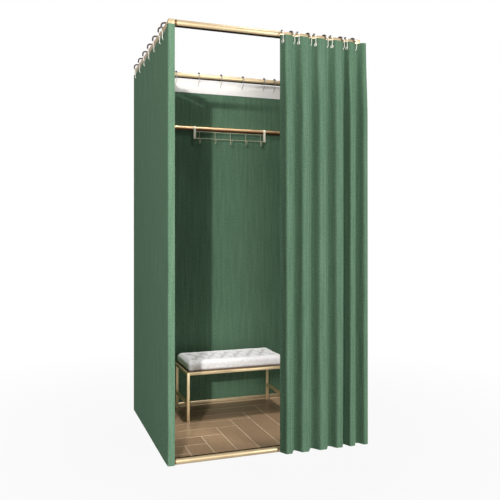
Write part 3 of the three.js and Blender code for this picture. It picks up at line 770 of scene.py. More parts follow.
def billow_of(across_length, down, hooks, seed):
    """Soft swell of a pulled-flat curtain, with shallow pulls below each hook."""
    slow = noise.noise(Vector((across_length * 2.3, down * 1.7, seed)))
    fold = noise.noise(Vector((across_length * 9.0, down * 0.8, seed + 7)))
    swell = 0.5 + BILLOW_SLOW_SHARE * slow + BILLOW_FOLD_SHARE * fold
    pull = sum(math.exp(-(((across_length - h) / PULL_REACH) ** 2)) for h in hooks)
    pull *= math.exp(-down / PULL_FADE)
    return settings().curtain.billow * (swell - PULL_SHARE * pull)


def side_place(side, flat, hooks, seed):
    """Places the points of a side curtain: a strip across the front, round the post, and along the side."""
    middle = CLOTH_THICKNESS / 2
    outer = abs(LEFT_AXIS) + CORNER_HALF - middle
    strip = settings().curtain.return_width
    front = FRONT_FACE + middle
    corner_arc = math.pi / 2 * POST_BEND
    straight = strip - middle - POST_BEND

    def place(across, down):
        run = across * flat[0]
        lift = TOP_RISE - TOP_FALL * smooth_step((run - strip - TOP_FALL_START) / TOP_FALL_RUN)
        top = CLOTH_TOP + lift - SCALLOP * (1 - math.cos(2 * math.pi * across * SCALLOPS)) / 2
        z = top - down * (top - CLOTH_FOOT)
        rise = billow_of(run - strip, down, hooks, seed)
        hem = hem_rise(across, down, flat)
        if run < straight:
            out = STRIP_WAVE * noise.noise(Vector((run * 30, down * 9, seed))) + hem
            return Vector((side * (outer - POST_BEND - straight + run), front - out, z))
        if run < straight + corner_arc:
            turn = (run - straight) / POST_BEND
            reach = POST_BEND + hem
            x = outer - POST_BEND + reach * math.sin(turn)
            y = front + POST_BEND - reach * math.cos(turn)
            return Vector((side * x, y, z))
        along = run - straight - corner_arc
        fade = smooth_step(along / BILLOW_START)
        return Vector((side * (outer + hem + rise * fade), front + POST_BEND + along, z))

    return place


def side_flat():
    """The flat size of a side curtain, (along, down)."""
    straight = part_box("left_curtain")[1].y - FRONT_FACE - 2 * (CLOTH_THICKNESS / 2 + POST_BEND)
    along = settings().curtain.return_width + straight + math.pi / 2 * POST_BEND
    return (along, CLOTH_TOP - CLOTH_FOOT)


class FITTINGROOM_OT_side_curtains(bpy.types.Operator):
    """Makes the left and right curtains, which wrap the front posts"""

    bl_idname = "fitting_room.side_curtains"
    bl_label = "Side Curtains"

    def execute(self, context):
        cloth = once(bpy.data.materials, "Curtain cloth", curtain_cloth)
        flat = side_flat()
        places = flat_places(REAR_AXIS - FRONT_AXIS, settings().hook.last_side_place)
        hooks = [FRONT_AXIS + p - FRONT_FACE for p in places]
        for side, name, seed in ((-1, "left", 3.1), (1, "right", 8.4)):
            obj = sheet_mesh(name, *SIDE_GRID, side_place(side, flat, hooks, seed), flat)
            if side > 0:
                face_out(obj)
            thicken(obj, settings().curtain.sheet_thickness)
            node = f"{name}_curtain"
            dress(obj, f"{node}_cloth", cloth, "frame", [node], CLOTH_ANGLE)
        return {"FINISHED"}


def curtain_cloth(name):
    values = settings().curtain
    looks = {"mottle": 120.0, "streak": 0.6, "depth": 0.7 * MM, "sheen": 0.08}
    return cloth_material(name, values.cloth_colour, values.cloth_shade, 1 / values.thread_pitch, **looks)


def tape_cloth(name):
    values = settings().curtain
    looks = {"mottle": 160.0, "streak": 0.3, "depth": 0.3 * MM, "sheen": 0.1}
    shade = [c * 0.9 for c in values.tape_colour]
    return cloth_material(name, values.tape_colour, shade, 1 / values.thread_pitch, **looks)


class FITTINGROOM_OT_rear_curtain(bpy.types.Operator):
    """Makes the rear curtain"""

    bl_idname = "fitting_room.rear_curtain"
    bl_label = "Rear Curtain"

    def execute(self, context):
        low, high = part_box("rear_curtain")
        flat = (high.x - low.x, high.z - low.z)
        hook_run = flat_places(RIGHT_AXIS - LEFT_AXIS, settings().hook.last_rear_place)
        hooks = [RIGHT_AXIS - p - low.x for p in hook_run]
        y = high.y - CLOTH_THICKNESS / 2

        def place(across, down):
            run = across * flat[0]
            fade = smooth_step(min(across, 1 - across) * REAR_BILLOW_EDGES)
            rise = billow_of(run, down, hooks, 5.7) * fade
            return Vector((high.x - run, y + rise + hem_rise(across, down, flat), high.z - down * flat[1]))

        obj = sheet_mesh("rear", *REAR_GRID, place, flat)
        thicken(obj, settings().curtain.sheet_thickness)
        cloth = once(bpy.data.materials, "Curtain cloth", curtain_cloth)
        dress(obj, "rear_curtain_cloth", cloth, "frame", ["rear_curtain"], CLOTH_ANGLE)
        return {"FINISHED"}


# Front curtain. The fold shares are its crests and valleys across its width, with a crest first.
FOLD_SHARES = (0.086, 0.181, 0.282, 0.379, 0.48, 0.576, 0.679, 0.774, 0.835, 0.914, 0.989)
FOLD_ROUND_SHARE = 0.8
CREST_WIDTH_POWER = 0.6
CREST_DIP_SHARE = 0.16
TOP_PINCH_SHARE = 0.6
SETTLE_SHARE = 0.2
HEM_FLARE_SHARE = 1.05
CREST_HOOK_SHARE = 0.6
VALLEY_HOOK_SHARE = 0.05
CREST_HOOK_TURN = math.radians(-13)
VALLEY_HOOK_TURN = math.radians(15)
FRONT_TOP_DROP = 10 * MM
FRONT_TOP = TOP_AXIS - FRONT_TOP_DROP
FRONT_HEM_GAP = 8 * MM
FRONT_LENGTH = FRONT_TOP - FRONT_HEM_GAP
LEAD_TUCK = 7 * MM
TAIL_REACH = 11 * MM
TAIL_START_SHARE = 0.84
HEM_SWAY = 4 * MM
WANDER = 1.6 * MM
HOOK_REST_DROP = 54 * MM
FRONT_TAPE_DROP = 8 * MM
FRONT_TAPE_OFFSET = 1.7 * MM
FRONT_TAPE_THICKNESS = 1.0 * MM
FRONT_COLUMNS = 264
FRONT_ROWS = 120
FRONT_TAPE_ROWS = 8


def lead_edge():
    return RIGHT_AXIS + CORNER_HALF - settings().curtain.gathered_width


def fold_share(index):
    """The share of a crest or valley. Past the ends, the last pitch goes on."""
    last = len(FOLD_SHARES) - 1
    if index < 0:
        return FOLD_SHARES[0] + index * (FOLD_SHARES[1] - FOLD_SHARES[0])
    if index > last:
        return FOLD_SHARES[last] + (index - last) * (FOLD_SHARES[last] - FOLD_SHARES[last - 1])
    return FOLD_SHARES[index]


def fold_x(phase):
    """Where a phase of the folds is along X. Even phases are crests, odd ones valleys."""
    index = math.floor(phase)
    share = fold_share(index) + (phase - index) * (fold_share(index + 1) - fold_share(index))
    tuck = LEAD_TUCK * max(1 - share / FOLD_SHARES[0], 0)
    tail = TAIL_REACH * max((share - TAIL_START_SHARE) / (1 - TAIL_START_SHARE), 0)
    return lead_edge() + settings().curtain.gathered_width * share + tuck + tail


def phase_at(share):
    index = -1
    while fold_share(index + 1) < share:
        index += 1
    return index + (share - fold_share(index)) / (fold_share(index + 1) - fold_share(index))


def fold_y(phase, down):
    """How far forward the folds are. They are pinched at the top and flare a little to the hem."""
    values = settings().curtain
    wave = math.cos(phase * math.pi)
    slant = math.sin(phase * math.pi)
    pleat = wave / math.hypot(wave, FOLD_ROUND_SHARE * slant)
    crest = ((1 + pleat) / 2) ** CREST_WIDTH_POWER - CREST_DIP_SHARE * max(wave, 0) ** 3
    settled = TOP_PINCH_SHARE + (1 - TOP_PINCH_SHARE) * smooth_step(down / SETTLE_SHARE)
    flare = 1 + (HEM_FLARE_SHARE - 1) * down
    return FRONT_FACE - values.valley_gap - values.pleat_depth * (settled * flare) * crest


def front_point(phase, down, offset):
    """A point of the front curtain, offset along the cloth's own normal, inwards when above zero."""
    step = 0.01
    dx = fold_x(phase + step) - fold_x(phase - step)
    dy = fold_y(phase + step, down) - fold_y(phase - step, down)
    run = math.hypot(dx, dy)
    across = (fold_x(phase) - lead_edge()) / settings().curtain.gathered_width
    edge = max(4 * across * (1 - across), 0)
    sway = HEM_SWAY * down * math.sin(down * math.pi + phase) * edge
    wander = WANDER * noise.noise(Vector((phase * 0.7, down * 2.4, 4.2))) * min(down * 6, 1)
    x = fold_x(phase) - dy / run * offset + sway + wander * edge
    y = fold_y(phase, down) + dx / run * offset + wander * 0.7
    return Vector((x, y, FRONT_TOP - down * FRONT_LENGTH))


def front_phases(count):
    """Phases spaced evenly along the cloth, and its length."""
    samples = 3000
    first, last = phase_at(0), phase_at(1)
    fine = [first + (last - first) * k / samples for k in range(samples + 1)]
    places = [Vector((fold_x(p), fold_y(p, 0.5))) for p in fine]
    runs = [0.0]
    for before, after in zip(places, places[1:]):
        runs.append(runs[-1] + (after - before).length)
    phases, k = [], 0
    for n in range(count + 1):
        target = runs[-1] * n / count
        while k < len(runs) - 2 and runs[k + 1] < target:
            k += 1
        t = (target - runs[k]) / (runs[k + 1] - runs[k])
        phases.append(fine[k] + (fine[k + 1] - fine[k]) * t)
    return phases, runs[-1]


def front_hook_places():
    """(x, phase, forward, turn) of each front hook, the leading one first."""
    down = (FRONT_TOP - (TOP_AXIS - HOOK_REST_DROP)) / FRONT_LENGTH
    found = []
    for index in range(len(FOLD_SHARES) - 1):
        crest = index % 2 == 0
        phase = index - (CREST_HOOK_SHARE if crest else VALLEY_HOOK_SHARE)
        forward = FRONT_AXIS - fold_y(phase, down)
        found.append((fold_x(phase), phase, forward, CREST_HOOK_TURN if crest else VALLEY_HOOK_TURN))
    return found


class FITTINGROOM_OT_front_curtain(bpy.types.Operator):
    """Makes the gathered front curtain and its heading tape"""

    bl_idname = "fitting_room.front_curtain"
    bl_label = "Front Curtain"

    def execute(self, context):
        phases, width = front_phases(FRONT_COLUMNS)
        flat = (width, FRONT_LENGTH)

        def phase_of(across):
            spot = across * FRONT_COLUMNS
            k = min(int(spot), FRONT_COLUMNS - 1)
            return phases[k] + (phases[k + 1] - phases[k]) * (spot - k)

        def place(across, down):
            return front_point(phase_of(across), down, -hem_rise(across, down, flat))

        def tape_place(across, down):
            share = (FRONT_TAPE_DROP + down * TAPE_HEIGHT) / FRONT_LENGTH
            return front_point(phase_of(across), share, FRONT_TAPE_OFFSET)

        curtain = sheet_mesh("front", FRONT_COLUMNS, FRONT_ROWS, place, flat)
        thicken(curtain, settings().curtain.sheet_thickness)
        cloth = once(bpy.data.materials, "Curtain cloth", curtain_cloth)
        dress(curtain, "front_curtain_cloth", cloth, None, ["front_curtain"], CLOTH_ANGLE)
        tape = sheet_mesh("front_tape", FRONT_COLUMNS, FRONT_TAPE_ROWS, tape_place, (width, TAPE_HEIGHT))
        thicken(tape, FRONT_TAPE_THICKNESS)
        tape_finish = once(bpy.data.materials, "Heading tape", tape_cloth)
        dress(tape, "front_heading_tape", tape_finish, None, (), CLOTH_ANGLE)
        for piece in (curtain, tape):
            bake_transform(piece)
        return {"FINISHED"}


# Heading tapes, their hooks and eyelets. A rail is (its start, its way, the way out of the room).
TAPE_REACH = CORNER_HALF - CLOTH_THICKNESS - 0.9 * MM
TAPE_END_GAP = 20 * MM
TAPE_THICKNESS = 0.9 * MM
TAPE_WAVE = 0.25 * MM
TAPE_EDGE_SHARE = 0.06
TAPE_GRID = (180, 24)
EYELET_STAND = 1.1 * MM
EYELET_DROP = 1 * MM
EYELET_ROUGHNESS = 0.35
FRONT_EYELET_OFFSET = -1.9 * MM
CREST_EYELET_SHARE = 1.15
VALLEY_EYELET_SHARE = 0.5
FRONT_BEAD_RADIUS = 1.9 * MM
FLAT_BEAD_RADIUS = 2.9 * MM
FRONT_BRONZE_FOOT = 8 * MM
REAR_BRONZE_FOOT = 6 * MM
SIDE_BRONZE_FOOT = -6 * MM


class FITTINGROOM_OT_heading_tapes(bpy.types.Operator):
    """Makes the white heading tapes of the flat curtains, with their hooks and eyelets"""

    bl_idname = "fitting_room.heading_tapes"
    bl_label = "Heading Tapes"

    def execute(self, context):
        values = settings().hook
        depth, width = REAR_AXIS - FRONT_AXIS, RIGHT_AXIS - LEFT_AXIS
        side_places = flat_places(depth, values.last_side_place)
        side_hooks = hook_material("Side hook wire", SIDE_BRONZE_FOOT, values.enamel)
        for name, x, sign in (("left", LEFT_AXIS, -1), ("right", RIGHT_AXIS, 1)):
            rail = (Vector((x, FRONT_AXIS, TOP_AXIS)), Vector((0, 1, 0)), Vector((sign, 0, 0)))
            make_tape(name, rail, depth)
            make_flat_hooks(name, rail, side_places, side_hooks, values.bulge)
        rail = (Vector((RIGHT_AXIS, REAR_AXIS, TOP_AXIS)), Vector((-1, 0, 0)), Vector((0, 1, 0)))
        rear_places = flat_places(width, values.last_rear_place)
        # painted shade: the rear hooks get the darker copy of the legs' enamel
        rear_hooks = hook_material("Rear hook wire", REAR_BRONZE_FOOT, values.shaded_rear_enamel)
        make_tape("rear", rail, width)
        make_flat_hooks("rear", rail, rear_places, rear_hooks, 0.0)
        return {"FINISHED"}


def make_tape(name, rail, length):
    """A heading tape on the inner side of a flat curtain."""
    origin, along, outward = rail
    run = length - 2 * TAPE_END_GAP
    flat = (run, TAPE_HEIGHT)
    fade = TAPE_EDGE_SHARE / 3

    def place(across, down):
        slack = TAPE_WAVE * noise.noise(Vector((across * 40, down * 3, len(name))))
        from_edge = min(down, 1 - down)
        edge = TAPE_WAVE * smooth_step((TAPE_EDGE_SHARE - from_edge) / fade)
        spot = origin + along * (TAPE_END_GAP + across * run) + outward * (TAPE_REACH - slack - edge)
        spot.z = CLOTH_TOP - down * TAPE_HEIGHT
        return spot

    obj = sheet_mesh(name, *TAPE_GRID, place, flat)
    thicken(obj, TAPE_THICKNESS)
    finish = once(bpy.data.materials, "Heading tape", tape_cloth)
    node = f"{name}_heading_tape"
    dress(obj, f"{node}_cloth", finish, "frame", [node], CLOTH_ANGLE)


def make_flat_hooks(name, rail, places, finish, bulge):
    """The hooks of a flat curtain along its rail, with an eyelet for each in the tape."""
    values = settings().hook
    origin, along, outward = rail
    eyelet_finish = once(bpy.data.materials, "Eyelet", enamel_material, values.enamel, EYELET_ROUGHNESS)
    forward = CORNER_HALF - CLOTH_THICKNESS / 2
    hook_model = hook_mesh(forward, values.flat_tip, values.drop, FLAT_BEAD_RADIUS, bulge)
    ring = eyelet_mesh()
    reach = outward * (TAPE_REACH - EYELET_STAND)
    reach.z = -(values.drop + values.flat_tip + EYELET_DROP)
    for number, distance in enumerate(places, 1):
        spot = origin + along * distance
        hook = copy_of(hook_model, f"{name}_hook_{number}")
        hook.matrix_world = hook_frame(spot, outward)
        dress(hook, f"{name}_hook_{number}", finish, "frame")
        eyelet = copy_of(ring, f"{name}_eyelet_{number}")
        eyelet.matrix_world = hook_frame(spot + reach, outward)
        dress(eyelet, f"{name}_eyelet_{number}", eyelet_finish, "frame")
    for model in (hook_model, ring):
        bpy.data.objects.remove(model)


def hook_frame(spot, outward):
    """Stands a model whose leg is towards -Y so that its leg is towards outward."""
    turn = math.atan2(outward.x, -outward.y)
    return Matrix.Translation(spot) @ Matrix.Rotation(turn, 4, "Z")


# Curtain hooks. Each arc and bend has one point more than its steps.
BOW_STEPS = 20
BOW_TAPER_STEPS = 6
LEG_STEPS = 5
TIP_STEPS = 10
BULGE_STEPS = 8
BULGE_START = math.radians(88)
BULGE_BEND = 16 * MM
BULGE_FOOT_DROP = 2 * MM
LEG_BEND = 5 * MM
BEAD_RISE = 2 * MM
EYELET_RADIUS = 5.0 * MM
EYELET_WIRE = 1.9 * MM
EYELET_FLATNESS = 0.55
BEAD_SLIMNESS = 0.32
BEAD_TOP_SHARE = 1.7
BEAD_FOOT_SHARE = 1.1


def hook_mesh(forward, tip_radius, drop, bead_radius, bulge=0.0):
    """A curtain hook round a rail along X at the origin, with its leg towards -Y. Its shoulder can bulge."""
    values = settings().hook
    seat, thin = values.bow_slack, values.leg_share
    bow = TOP_TUBE_RADIUS + FIT_GAP + values.wire_radius + seat
    leg = -forward - tip_radius
    foot = Vector((0, leg, -drop))
    heading = math.atan2(seat - drop, -forward)
    rear = heading + math.acos((bow - tip_radius) / math.hypot(forward, drop - seat))
    shoulder = math.pi + math.atan2(values.shoulder_drop - seat, -leg)
    front = shoulder - math.acos(bow / math.hypot(leg, values.shoulder_drop - seat))
    if bulge:
        front = BULGE_START
    sweep = [rear + (front - rear) * k / BOW_STEPS for k in range(BOW_STEPS + 1)]
    points = [arc_point(0, -seat, bow, angle) for angle in sweep]
    thickness = [thin + (1 - thin) * smooth_step(k / BOW_TAPER_STEPS) for k in range(BOW_STEPS + 1)]
    thinning = [1 - (1 - thin) * smooth_step(k / LEG_STEPS) for k in range(LEG_STEPS + 1)]
    if bulge:
        corner = Vector((0, leg - bulge, points[-1].z))
        outer = Vector((0, leg - bulge, -values.shoulder_drop - BULGE_FOOT_DROP))
        inner = Vector((0, leg, -drop / 2))
        points += rounded_bend(points[-1], corner, outer, BULGE_BEND, BULGE_STEPS)
        points += rounded_bend(corner, outer, inner, LEG_BEND, LEG_STEPS)
        points += rounded_bend(outer, inner, foot, LEG_BEND, LEG_STEPS)
        thickness += [1.0] * (BULGE_STEPS + 1) + thinning + [thin] * (LEG_STEPS + 1)
    else:
        corner = Vector((0, leg, -values.shoulder_drop))
        points += rounded_bend(points[-1], corner, foot, LEG_BEND, LEG_STEPS)
        thickness += thinning
    turn = rear + math.pi
    sweep = [-math.pi + turn * k / TIP_STEPS for k in range(TIP_STEPS + 1)]
    points += [arc_point(-forward, -drop, tip_radius, angle) for angle in sweep]
    thickness += [thin] * (TIP_STEPS + 1)
    shaft = wire(points, values.wire_radius, True, thickness=thickness)
    return joined([shaft, bead_mesh(Vector((0, leg, -drop + BEAD_RISE)), bead_radius)])


def arc_point(y, z, radius, angle):
    return Vector((0, y + radius * math.cos(angle), z + radius * math.sin(angle)))


def rounded_bend(before, corner, after, reach, steps):
    """Points that round a corner."""
    start = corner + (before - corner).normalized() * reach
    end = corner + (after - corner).normalized() * reach
    shares = [k / steps for k in range(steps + 1)]
    return [start * (1 - t) ** 2 + corner * 2 * t * (1 - t) + end * t * t for t in shares]


def bead_mesh(middle, radius):
    """A pear-shaped bead on a hook's leg."""
    obj = ball("Bead", radius, middle, 16, 10)
    for vertex in obj.data.vertices:
        rise = (vertex.co.z - middle.z) / radius
        slim = 1 - BEAD_SLIMNESS * max(rise, 0)
        vertex.co.x = middle.x + (vertex.co.x - middle.x) * slim
        vertex.co.y = middle.y + (vertex.co.y - middle.y) * slim
        vertex.co.z = middle.z + rise * radius * (BEAD_TOP_SHARE if rise > 0 else BEAD_FOOT_SHARE)
    return obj


def eyelet_mesh(share=1.0):
    """A small ring that lines the hole a hook goes through, lying in the XZ plane."""
    obj = added(
        "Eyelet",
        "torus",
        major_radius=EYELET_RADIUS * share,
        minor_radius=EYELET_WIRE * share,
        major_segments=28,
        minor_segments=10,
        rotation=(math.radians(90), 0, 0),
    )
    for vertex in obj.data.vertices:
        vertex.co.y *= EYELET_FLATNESS
    return obj


class FITTINGROOM_OT_front_hooks(bpy.types.Operator):
    """Makes the front curtain's hooks, with an eyelet for each"""

    bl_idname = "fitting_room.front_hooks"
    bl_label = "Front Hooks"

    def execute(self, context):
        values = settings().hook
        finish = hook_material("Front hook wire", FRONT_BRONZE_FOOT, values.enamel)
        eyelet_finish = once(bpy.data.materials, "Eyelet", enamel_material, values.enamel, EYELET_ROUGHNESS)
        rings = eyelet_mesh(CREST_EYELET_SHARE), eyelet_mesh(VALLEY_EYELET_SHARE)
        sites = front_hook_places()
        hooks = [
            hook_mesh(forward / math.cos(turn), values.front_tip, values.front_drop, FRONT_BEAD_RADIUS)
            for _, _, forward, turn in sites[:2]
        ]
        down = (FRONT_TOP - (TOP_AXIS - values.front_drop - values.front_tip)) / FRONT_LENGTH
        bodies = ["curtain_lead", *(f"curtain_hook_{number}" for number in range(2, len(sites))), "frame"]
        for index, (x, phase, forward, turn) in enumerate(sites):
            name = f"front_hook_{index + 1}"
            hook = copy_of(hooks[index % 2], f"{name}_wire")
            bow = Vector((x - forward * math.tan(turn), FRONT_AXIS, TOP_AXIS))
            hook.matrix_world = Matrix.Translation(bow) @ Matrix.Rotation(turn, 4, "Z")
            dress(hook, f"{name}_wire", finish, bodies[index], [name])
            eyelet = copy_of(rings[index % 2], f"front_eyelet_{index + 1}")
            ahead, behind = front_point(phase + 0.02, down, 0), front_point(phase - 0.02, down, 0)
            lean = math.atan2(ahead.y - behind.y, ahead.x - behind.x)
            spot = front_point(phase, down, FRONT_EYELET_OFFSET)
            eyelet.matrix_world = Matrix.Translation(spot) @ Matrix.Rotation(lean, 4, "Z")
            dress(eyelet, f"front_eyelet_{index + 1}", eyelet_finish, bodies[index])
        for model in (*rings, *hooks):
            bpy.data.objects.remove(model)
        return {"FINISHED"}


# Clothes rail and hook rack
# where the painted shade on the clothes rail starts, below its axis, as a share of its radius
RAIL_PAINTED_SHADE_SHARE = 0.25
COLLAR_GAP = 0.6 * MM
COLLAR_DEPTH = 6 * MM
COLLAR_EDGE = 1.2 * MM
STRAP_THICKNESS = 2 * MM
STRAP_BACK_DROP = 8 * MM
STRAP_STEPS = 14
STRAP_END_ROUND = 6 * MM
STRAP_EDGE = 0.5 * MM
RACK_HOOK_RADIUS = 1.6 * MM
RACK_BALL_RADIUS = 3.2 * MM
BALL_RISE_SHARE = 0.8
RACK_TIP_RISE = 8 * MM
RACK_BEND_STEPS = 16


class FITTINGROOM_OT_clothes_rail(bpy.types.Operator):
    """Makes the clothes rail with its saddle collars"""

    bl_idname = "fitting_room.clothes_rail"
    bl_label = "Clothes Rail"

    def execute(self, context):
        metal = settings().metal
        low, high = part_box("clothes_rail")
        middle = (low + high) / 2
        # painted shade on the clothes rail below this height
        under = middle.z - RAIL_RADIUS * RAIL_PAINTED_SHADE_SHARE
        finish = tube_material(
            "Copper gold rail", metal.rail, metal.rail_shade, metal.rail_painted_shade, under, roughness=0.34
        )
        run = RIGHT_AXIS - LEFT_AXIS - 2 * (TOP_TUBE_RADIUS + COLLAR_GAP)
        pieces = [cylinder("Rail", "x", RAIL_RADIUS, run, middle)]
        for side in (-1, 1):
            place = middle + Vector((side * (run / 2 + COLLAR_GAP), 0, 0))
            collar = cylinder("Collar", "x", (high.z - low.z) / 2, COLLAR_DEPTH, place)
            bevel(collar, COLLAR_EDGE, 3)
            pieces.append(collar)
        dress(joined(pieces), "clothes_rail_tube", finish, "frame", ["clothes_rail"])
        return {"FINISHED"}


class FITTINGROOM_OT_hook_rack(bpy.types.Operator):
    """Makes the hook rack: two straps, two wires and the J hooks"""

    bl_idname = "fitting_room.hook_rack"
    bl_label = "Hook Rack"

    def execute(self, context):
        finish = enamel_material("Rack enamel", settings().metal.rack_white, 0.32)
        for side in ("left", "right"):
            make_strap(f"rack_{side}_strap", finish)
        thin = enamel_material("Rack wire", settings().metal.rack_wire, 0.4)
        for name in ("rack_upper_wire", "rack_lower_wire"):
            low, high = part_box(name)
            middle = (low + high) / 2
            ends = [Vector((x, middle.y, middle.z)) for x in (low.x, high.x)]
            obj = wire(ends, (high.z - low.z) / 2, False, 5)
            dress(obj, f"{name}_bar", thin, "hook_rack", [name])
        for number in range(1, 6):
            make_rack_hook(f"rack_hook_{number}", thin)
        return {"FINISHED"}


def make_strap(name, finish):
    """A flat strap bent over the clothes rail."""
    low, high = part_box(name)
    rail = box_middle("clothes_rail")
    radius = RAIL_RADIUS + FIT_GAP + STRAP_THICKNESS / 2
    angles = [math.pi * k / STRAP_STEPS for k in range(STRAP_STEPS + 1)]
    profile = [(rail.y + radius, rail.z - STRAP_BACK_DROP)]
    profile += [(rail.y + radius * math.cos(angle), rail.z + radius * math.sin(angle)) for angle in angles]
    profile.append((rail.y - radius, low.z))
    obj = added(name, "plane")
    shape = bmesh.new()
    rows = [[shape.verts.new((x, y, z)) for x in (low.x, high.x)] for y, z in profile]
    for before, after in zip(rows, rows[1:]):
        shape.faces.new((before[0], before[1], after[1], after[0]))
    shape.to_mesh(obj.data)
    shape.free()
    edit(obj)
    bpy.ops.mesh.select_mode(type="VERT")
    shape = bmesh.from_edit_mesh(obj.data)
    for vertex in shape.verts:
        vertex.select_set(vertex.co.z < low.z + 0.1 * MM)
    bmesh.update_edit_mesh(obj.data)
    bpy.ops.mesh.bevel(offset=STRAP_END_ROUND, segments=6, affect="VERTICES")
    leave()
    thicken(obj, STRAP_THICKNESS)
    bevel(obj, STRAP_EDGE, degrees=50)
    return dress(obj, f"{name}_bent", finish, "hook_rack", [name])


def make_rack_hook(name, finish):
    """A J hook with a ball at its tip."""
    low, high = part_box(name)
    x = (low.x + high.x) / 2
    shank = high.y - RACK_HOOK_RADIUS
    tip = low.y + RACK_BALL_RADIUS
    bend = (shank - tip) / 2
    foot = low.z + RACK_HOOK_RADIUS + bend
    top = foot + RACK_TIP_RISE
    points = [Vector((x, shank, high.z)), Vector((x, shank, (high.z + foot) / 2))]
    for k in range(RACK_BEND_STEPS + 1):
        angle = math.pi * k / RACK_BEND_STEPS
        points.append(Vector((x, shank - bend + bend * math.cos(angle), foot - bend * math.sin(angle))))
    points.append(Vector((x, tip, top)))
    shaft = wire(points, RACK_HOOK_RADIUS, False, 4)
    end = ball("Ball", RACK_BALL_RADIUS, (x, tip, top + RACK_BALL_RADIUS * BALL_RISE_SHARE), 20, 12)
    return dress(joined([shaft, end]), f"{name}_wire", finish, "hook_rack", [name])


# Floor panel
PLANK_START_X = -0.24
PLANK_START_Y = -0.107
PLANK_RISE = 0.5 * MM
PANEL_INSET = 10 * MM
SHADOW_STRIP_GAP = 1 * MM
SHADOW_STRIP_EDGE = 0.2 * MM
NOTCH_GAP = 0.8 * MM
SMALLEST_PLANK = 1 * MM
GRAIN_SHIFT = (1.37, 2.1)


def plank_at(point):
    """(runs along Y, random share, two counts of the plank) for the herringbone at a point of the floor."""
    values = settings().floor
    width, count = values.plank_width, values.plank_count
    across, along = (point.x - PLANK_START_X) / width, (point.y - PLANK_START_Y) / width
    upright = (along - math.floor(across)) % (2 * count) >= count
    if upright:
        k, m = math.floor(across), math.floor((along - math.floor(across)) / (2 * count))
    else:
        k, m = math.floor(along), math.floor((across - math.floor(along) - 1) / (2 * count))
    tone = (math.sin(k * 12.9898 + m * 78.233 + upright * 37.7) * 43758.5453) % 1.0
    return upright, tone, k, m


def plank_rectangles(low, high):
    """Herringbone planks, as (x0, y0, x1, y1), that touch the rectangle."""
    values = settings().floor
    width = values.plank_width
    length, gap = width * values.plank_count, values.joint / 2
    for k in range(-30, 31):
        for m in range(-3, 4):
            x = PLANK_START_X + k * width + m * length
            y = PLANK_START_Y + k * width - m * length
            right = x + width
            for x0, y0, x1, y1 in ((x, y - length, right, y), (right - length, y, right, y + width)):
                if x1 > low.x and x0 < high.x and y1 > low.y and y0 < high.y:
                    yield x0 + gap, y0 + gap, x1 - gap, y1 - gap


class FITTINGROOM_OT_floor_panel(bpy.types.Operator):
    """Makes the floor panel with its herringbone planks and a near-black strip along its front, a painted
    shadow behind the sill
    """

    bl_idname = "fitting_room.floor_panel"
    bl_label = "Floor Panel"

    def execute(self, context):
        values = settings().floor
        low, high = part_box("floor_panel")
        foot = high.z - PLANK_RISE
        left, right = low.x + PANEL_INSET, high.x - PANEL_INSET
        front = low.y + values.painted_shadow_strip
        slab = notched_slab(low, Vector((high.x, high.y, foot)))
        planks = plank_mesh(Vector((left, front, 0)), Vector((right, high.y - PANEL_INSET, 0)), foot)
        # painted shadow: a near-black block along the front, behind the sill
        shadow_strip_low = Vector((left, low.y + SHADOW_STRIP_GAP, foot))
        painted_shadow_strip = block(shadow_strip_low, Vector((right, front - SHADOW_STRIP_GAP, high.z)), SHADOW_STRIP_EDGE, 1)
        finishes = (
            enamel_material("Panel slab", values.joint_colour, 0.55),
            plank_material("Wood print"),
            enamel_material("Panel border", values.painted_shadow_colour, 0.9, 0.03),
        )
        pieces = (slab, planks, painted_shadow_strip)
        for index, piece in enumerate(pieces):
            clothe(piece, finishes, index)
        dress(joined(pieces), "floor_panel_planks", None, "frame", ["floor_panel"], 20)
        return {"FINISHED"}


def notched_slab(low, high):
    """The panel's slab, with its corners cut out round the connectors."""
    notch_x = high.x - (RIGHT_AXIS - CORNER_BLOCK_HALF - NOTCH_GAP)
    notch_y = high.y - (REAR_AXIS - CORNER_BLOCK_HALF - NOTCH_GAP)
    obj = plain_block(low, high, "Slab")
    edit(obj)
    cuts = [((x, 0, 0), (1, 0, 0)) for x in (low.x + notch_x, high.x - notch_x)]
    cuts += [((0, y, 0), (0, 1, 0)) for y in (low.y + notch_y, high.y - notch_y)]
    for place, normal in cuts:
        bpy.ops.mesh.select_all(action="SELECT")
        bpy.ops.mesh.bisect(plane_co=place, plane_no=normal)
    leave()
    centre, half = (low + high) / 2, (high - low) / 2

    def in_corner(point):
        return abs(point.x - centre.x) > half.x - notch_x and abs(point.y - centre.y) > half.y - notch_y

    shape = bmesh.new()
    shape.from_mesh(obj.data)
    cut = [face for face in shape.faces if in_corner(face.calc_center_median())]
    bmesh.ops.delete(shape, geom=cut, context="FACES")
    bmesh.ops.holes_fill(shape, edges=[edge for edge in shape.edges if edge.is_boundary])
    bmesh.ops.recalc_face_normals(shape, faces=shape.faces)
    shape.to_mesh(obj.data)
    shape.free()
    return obj


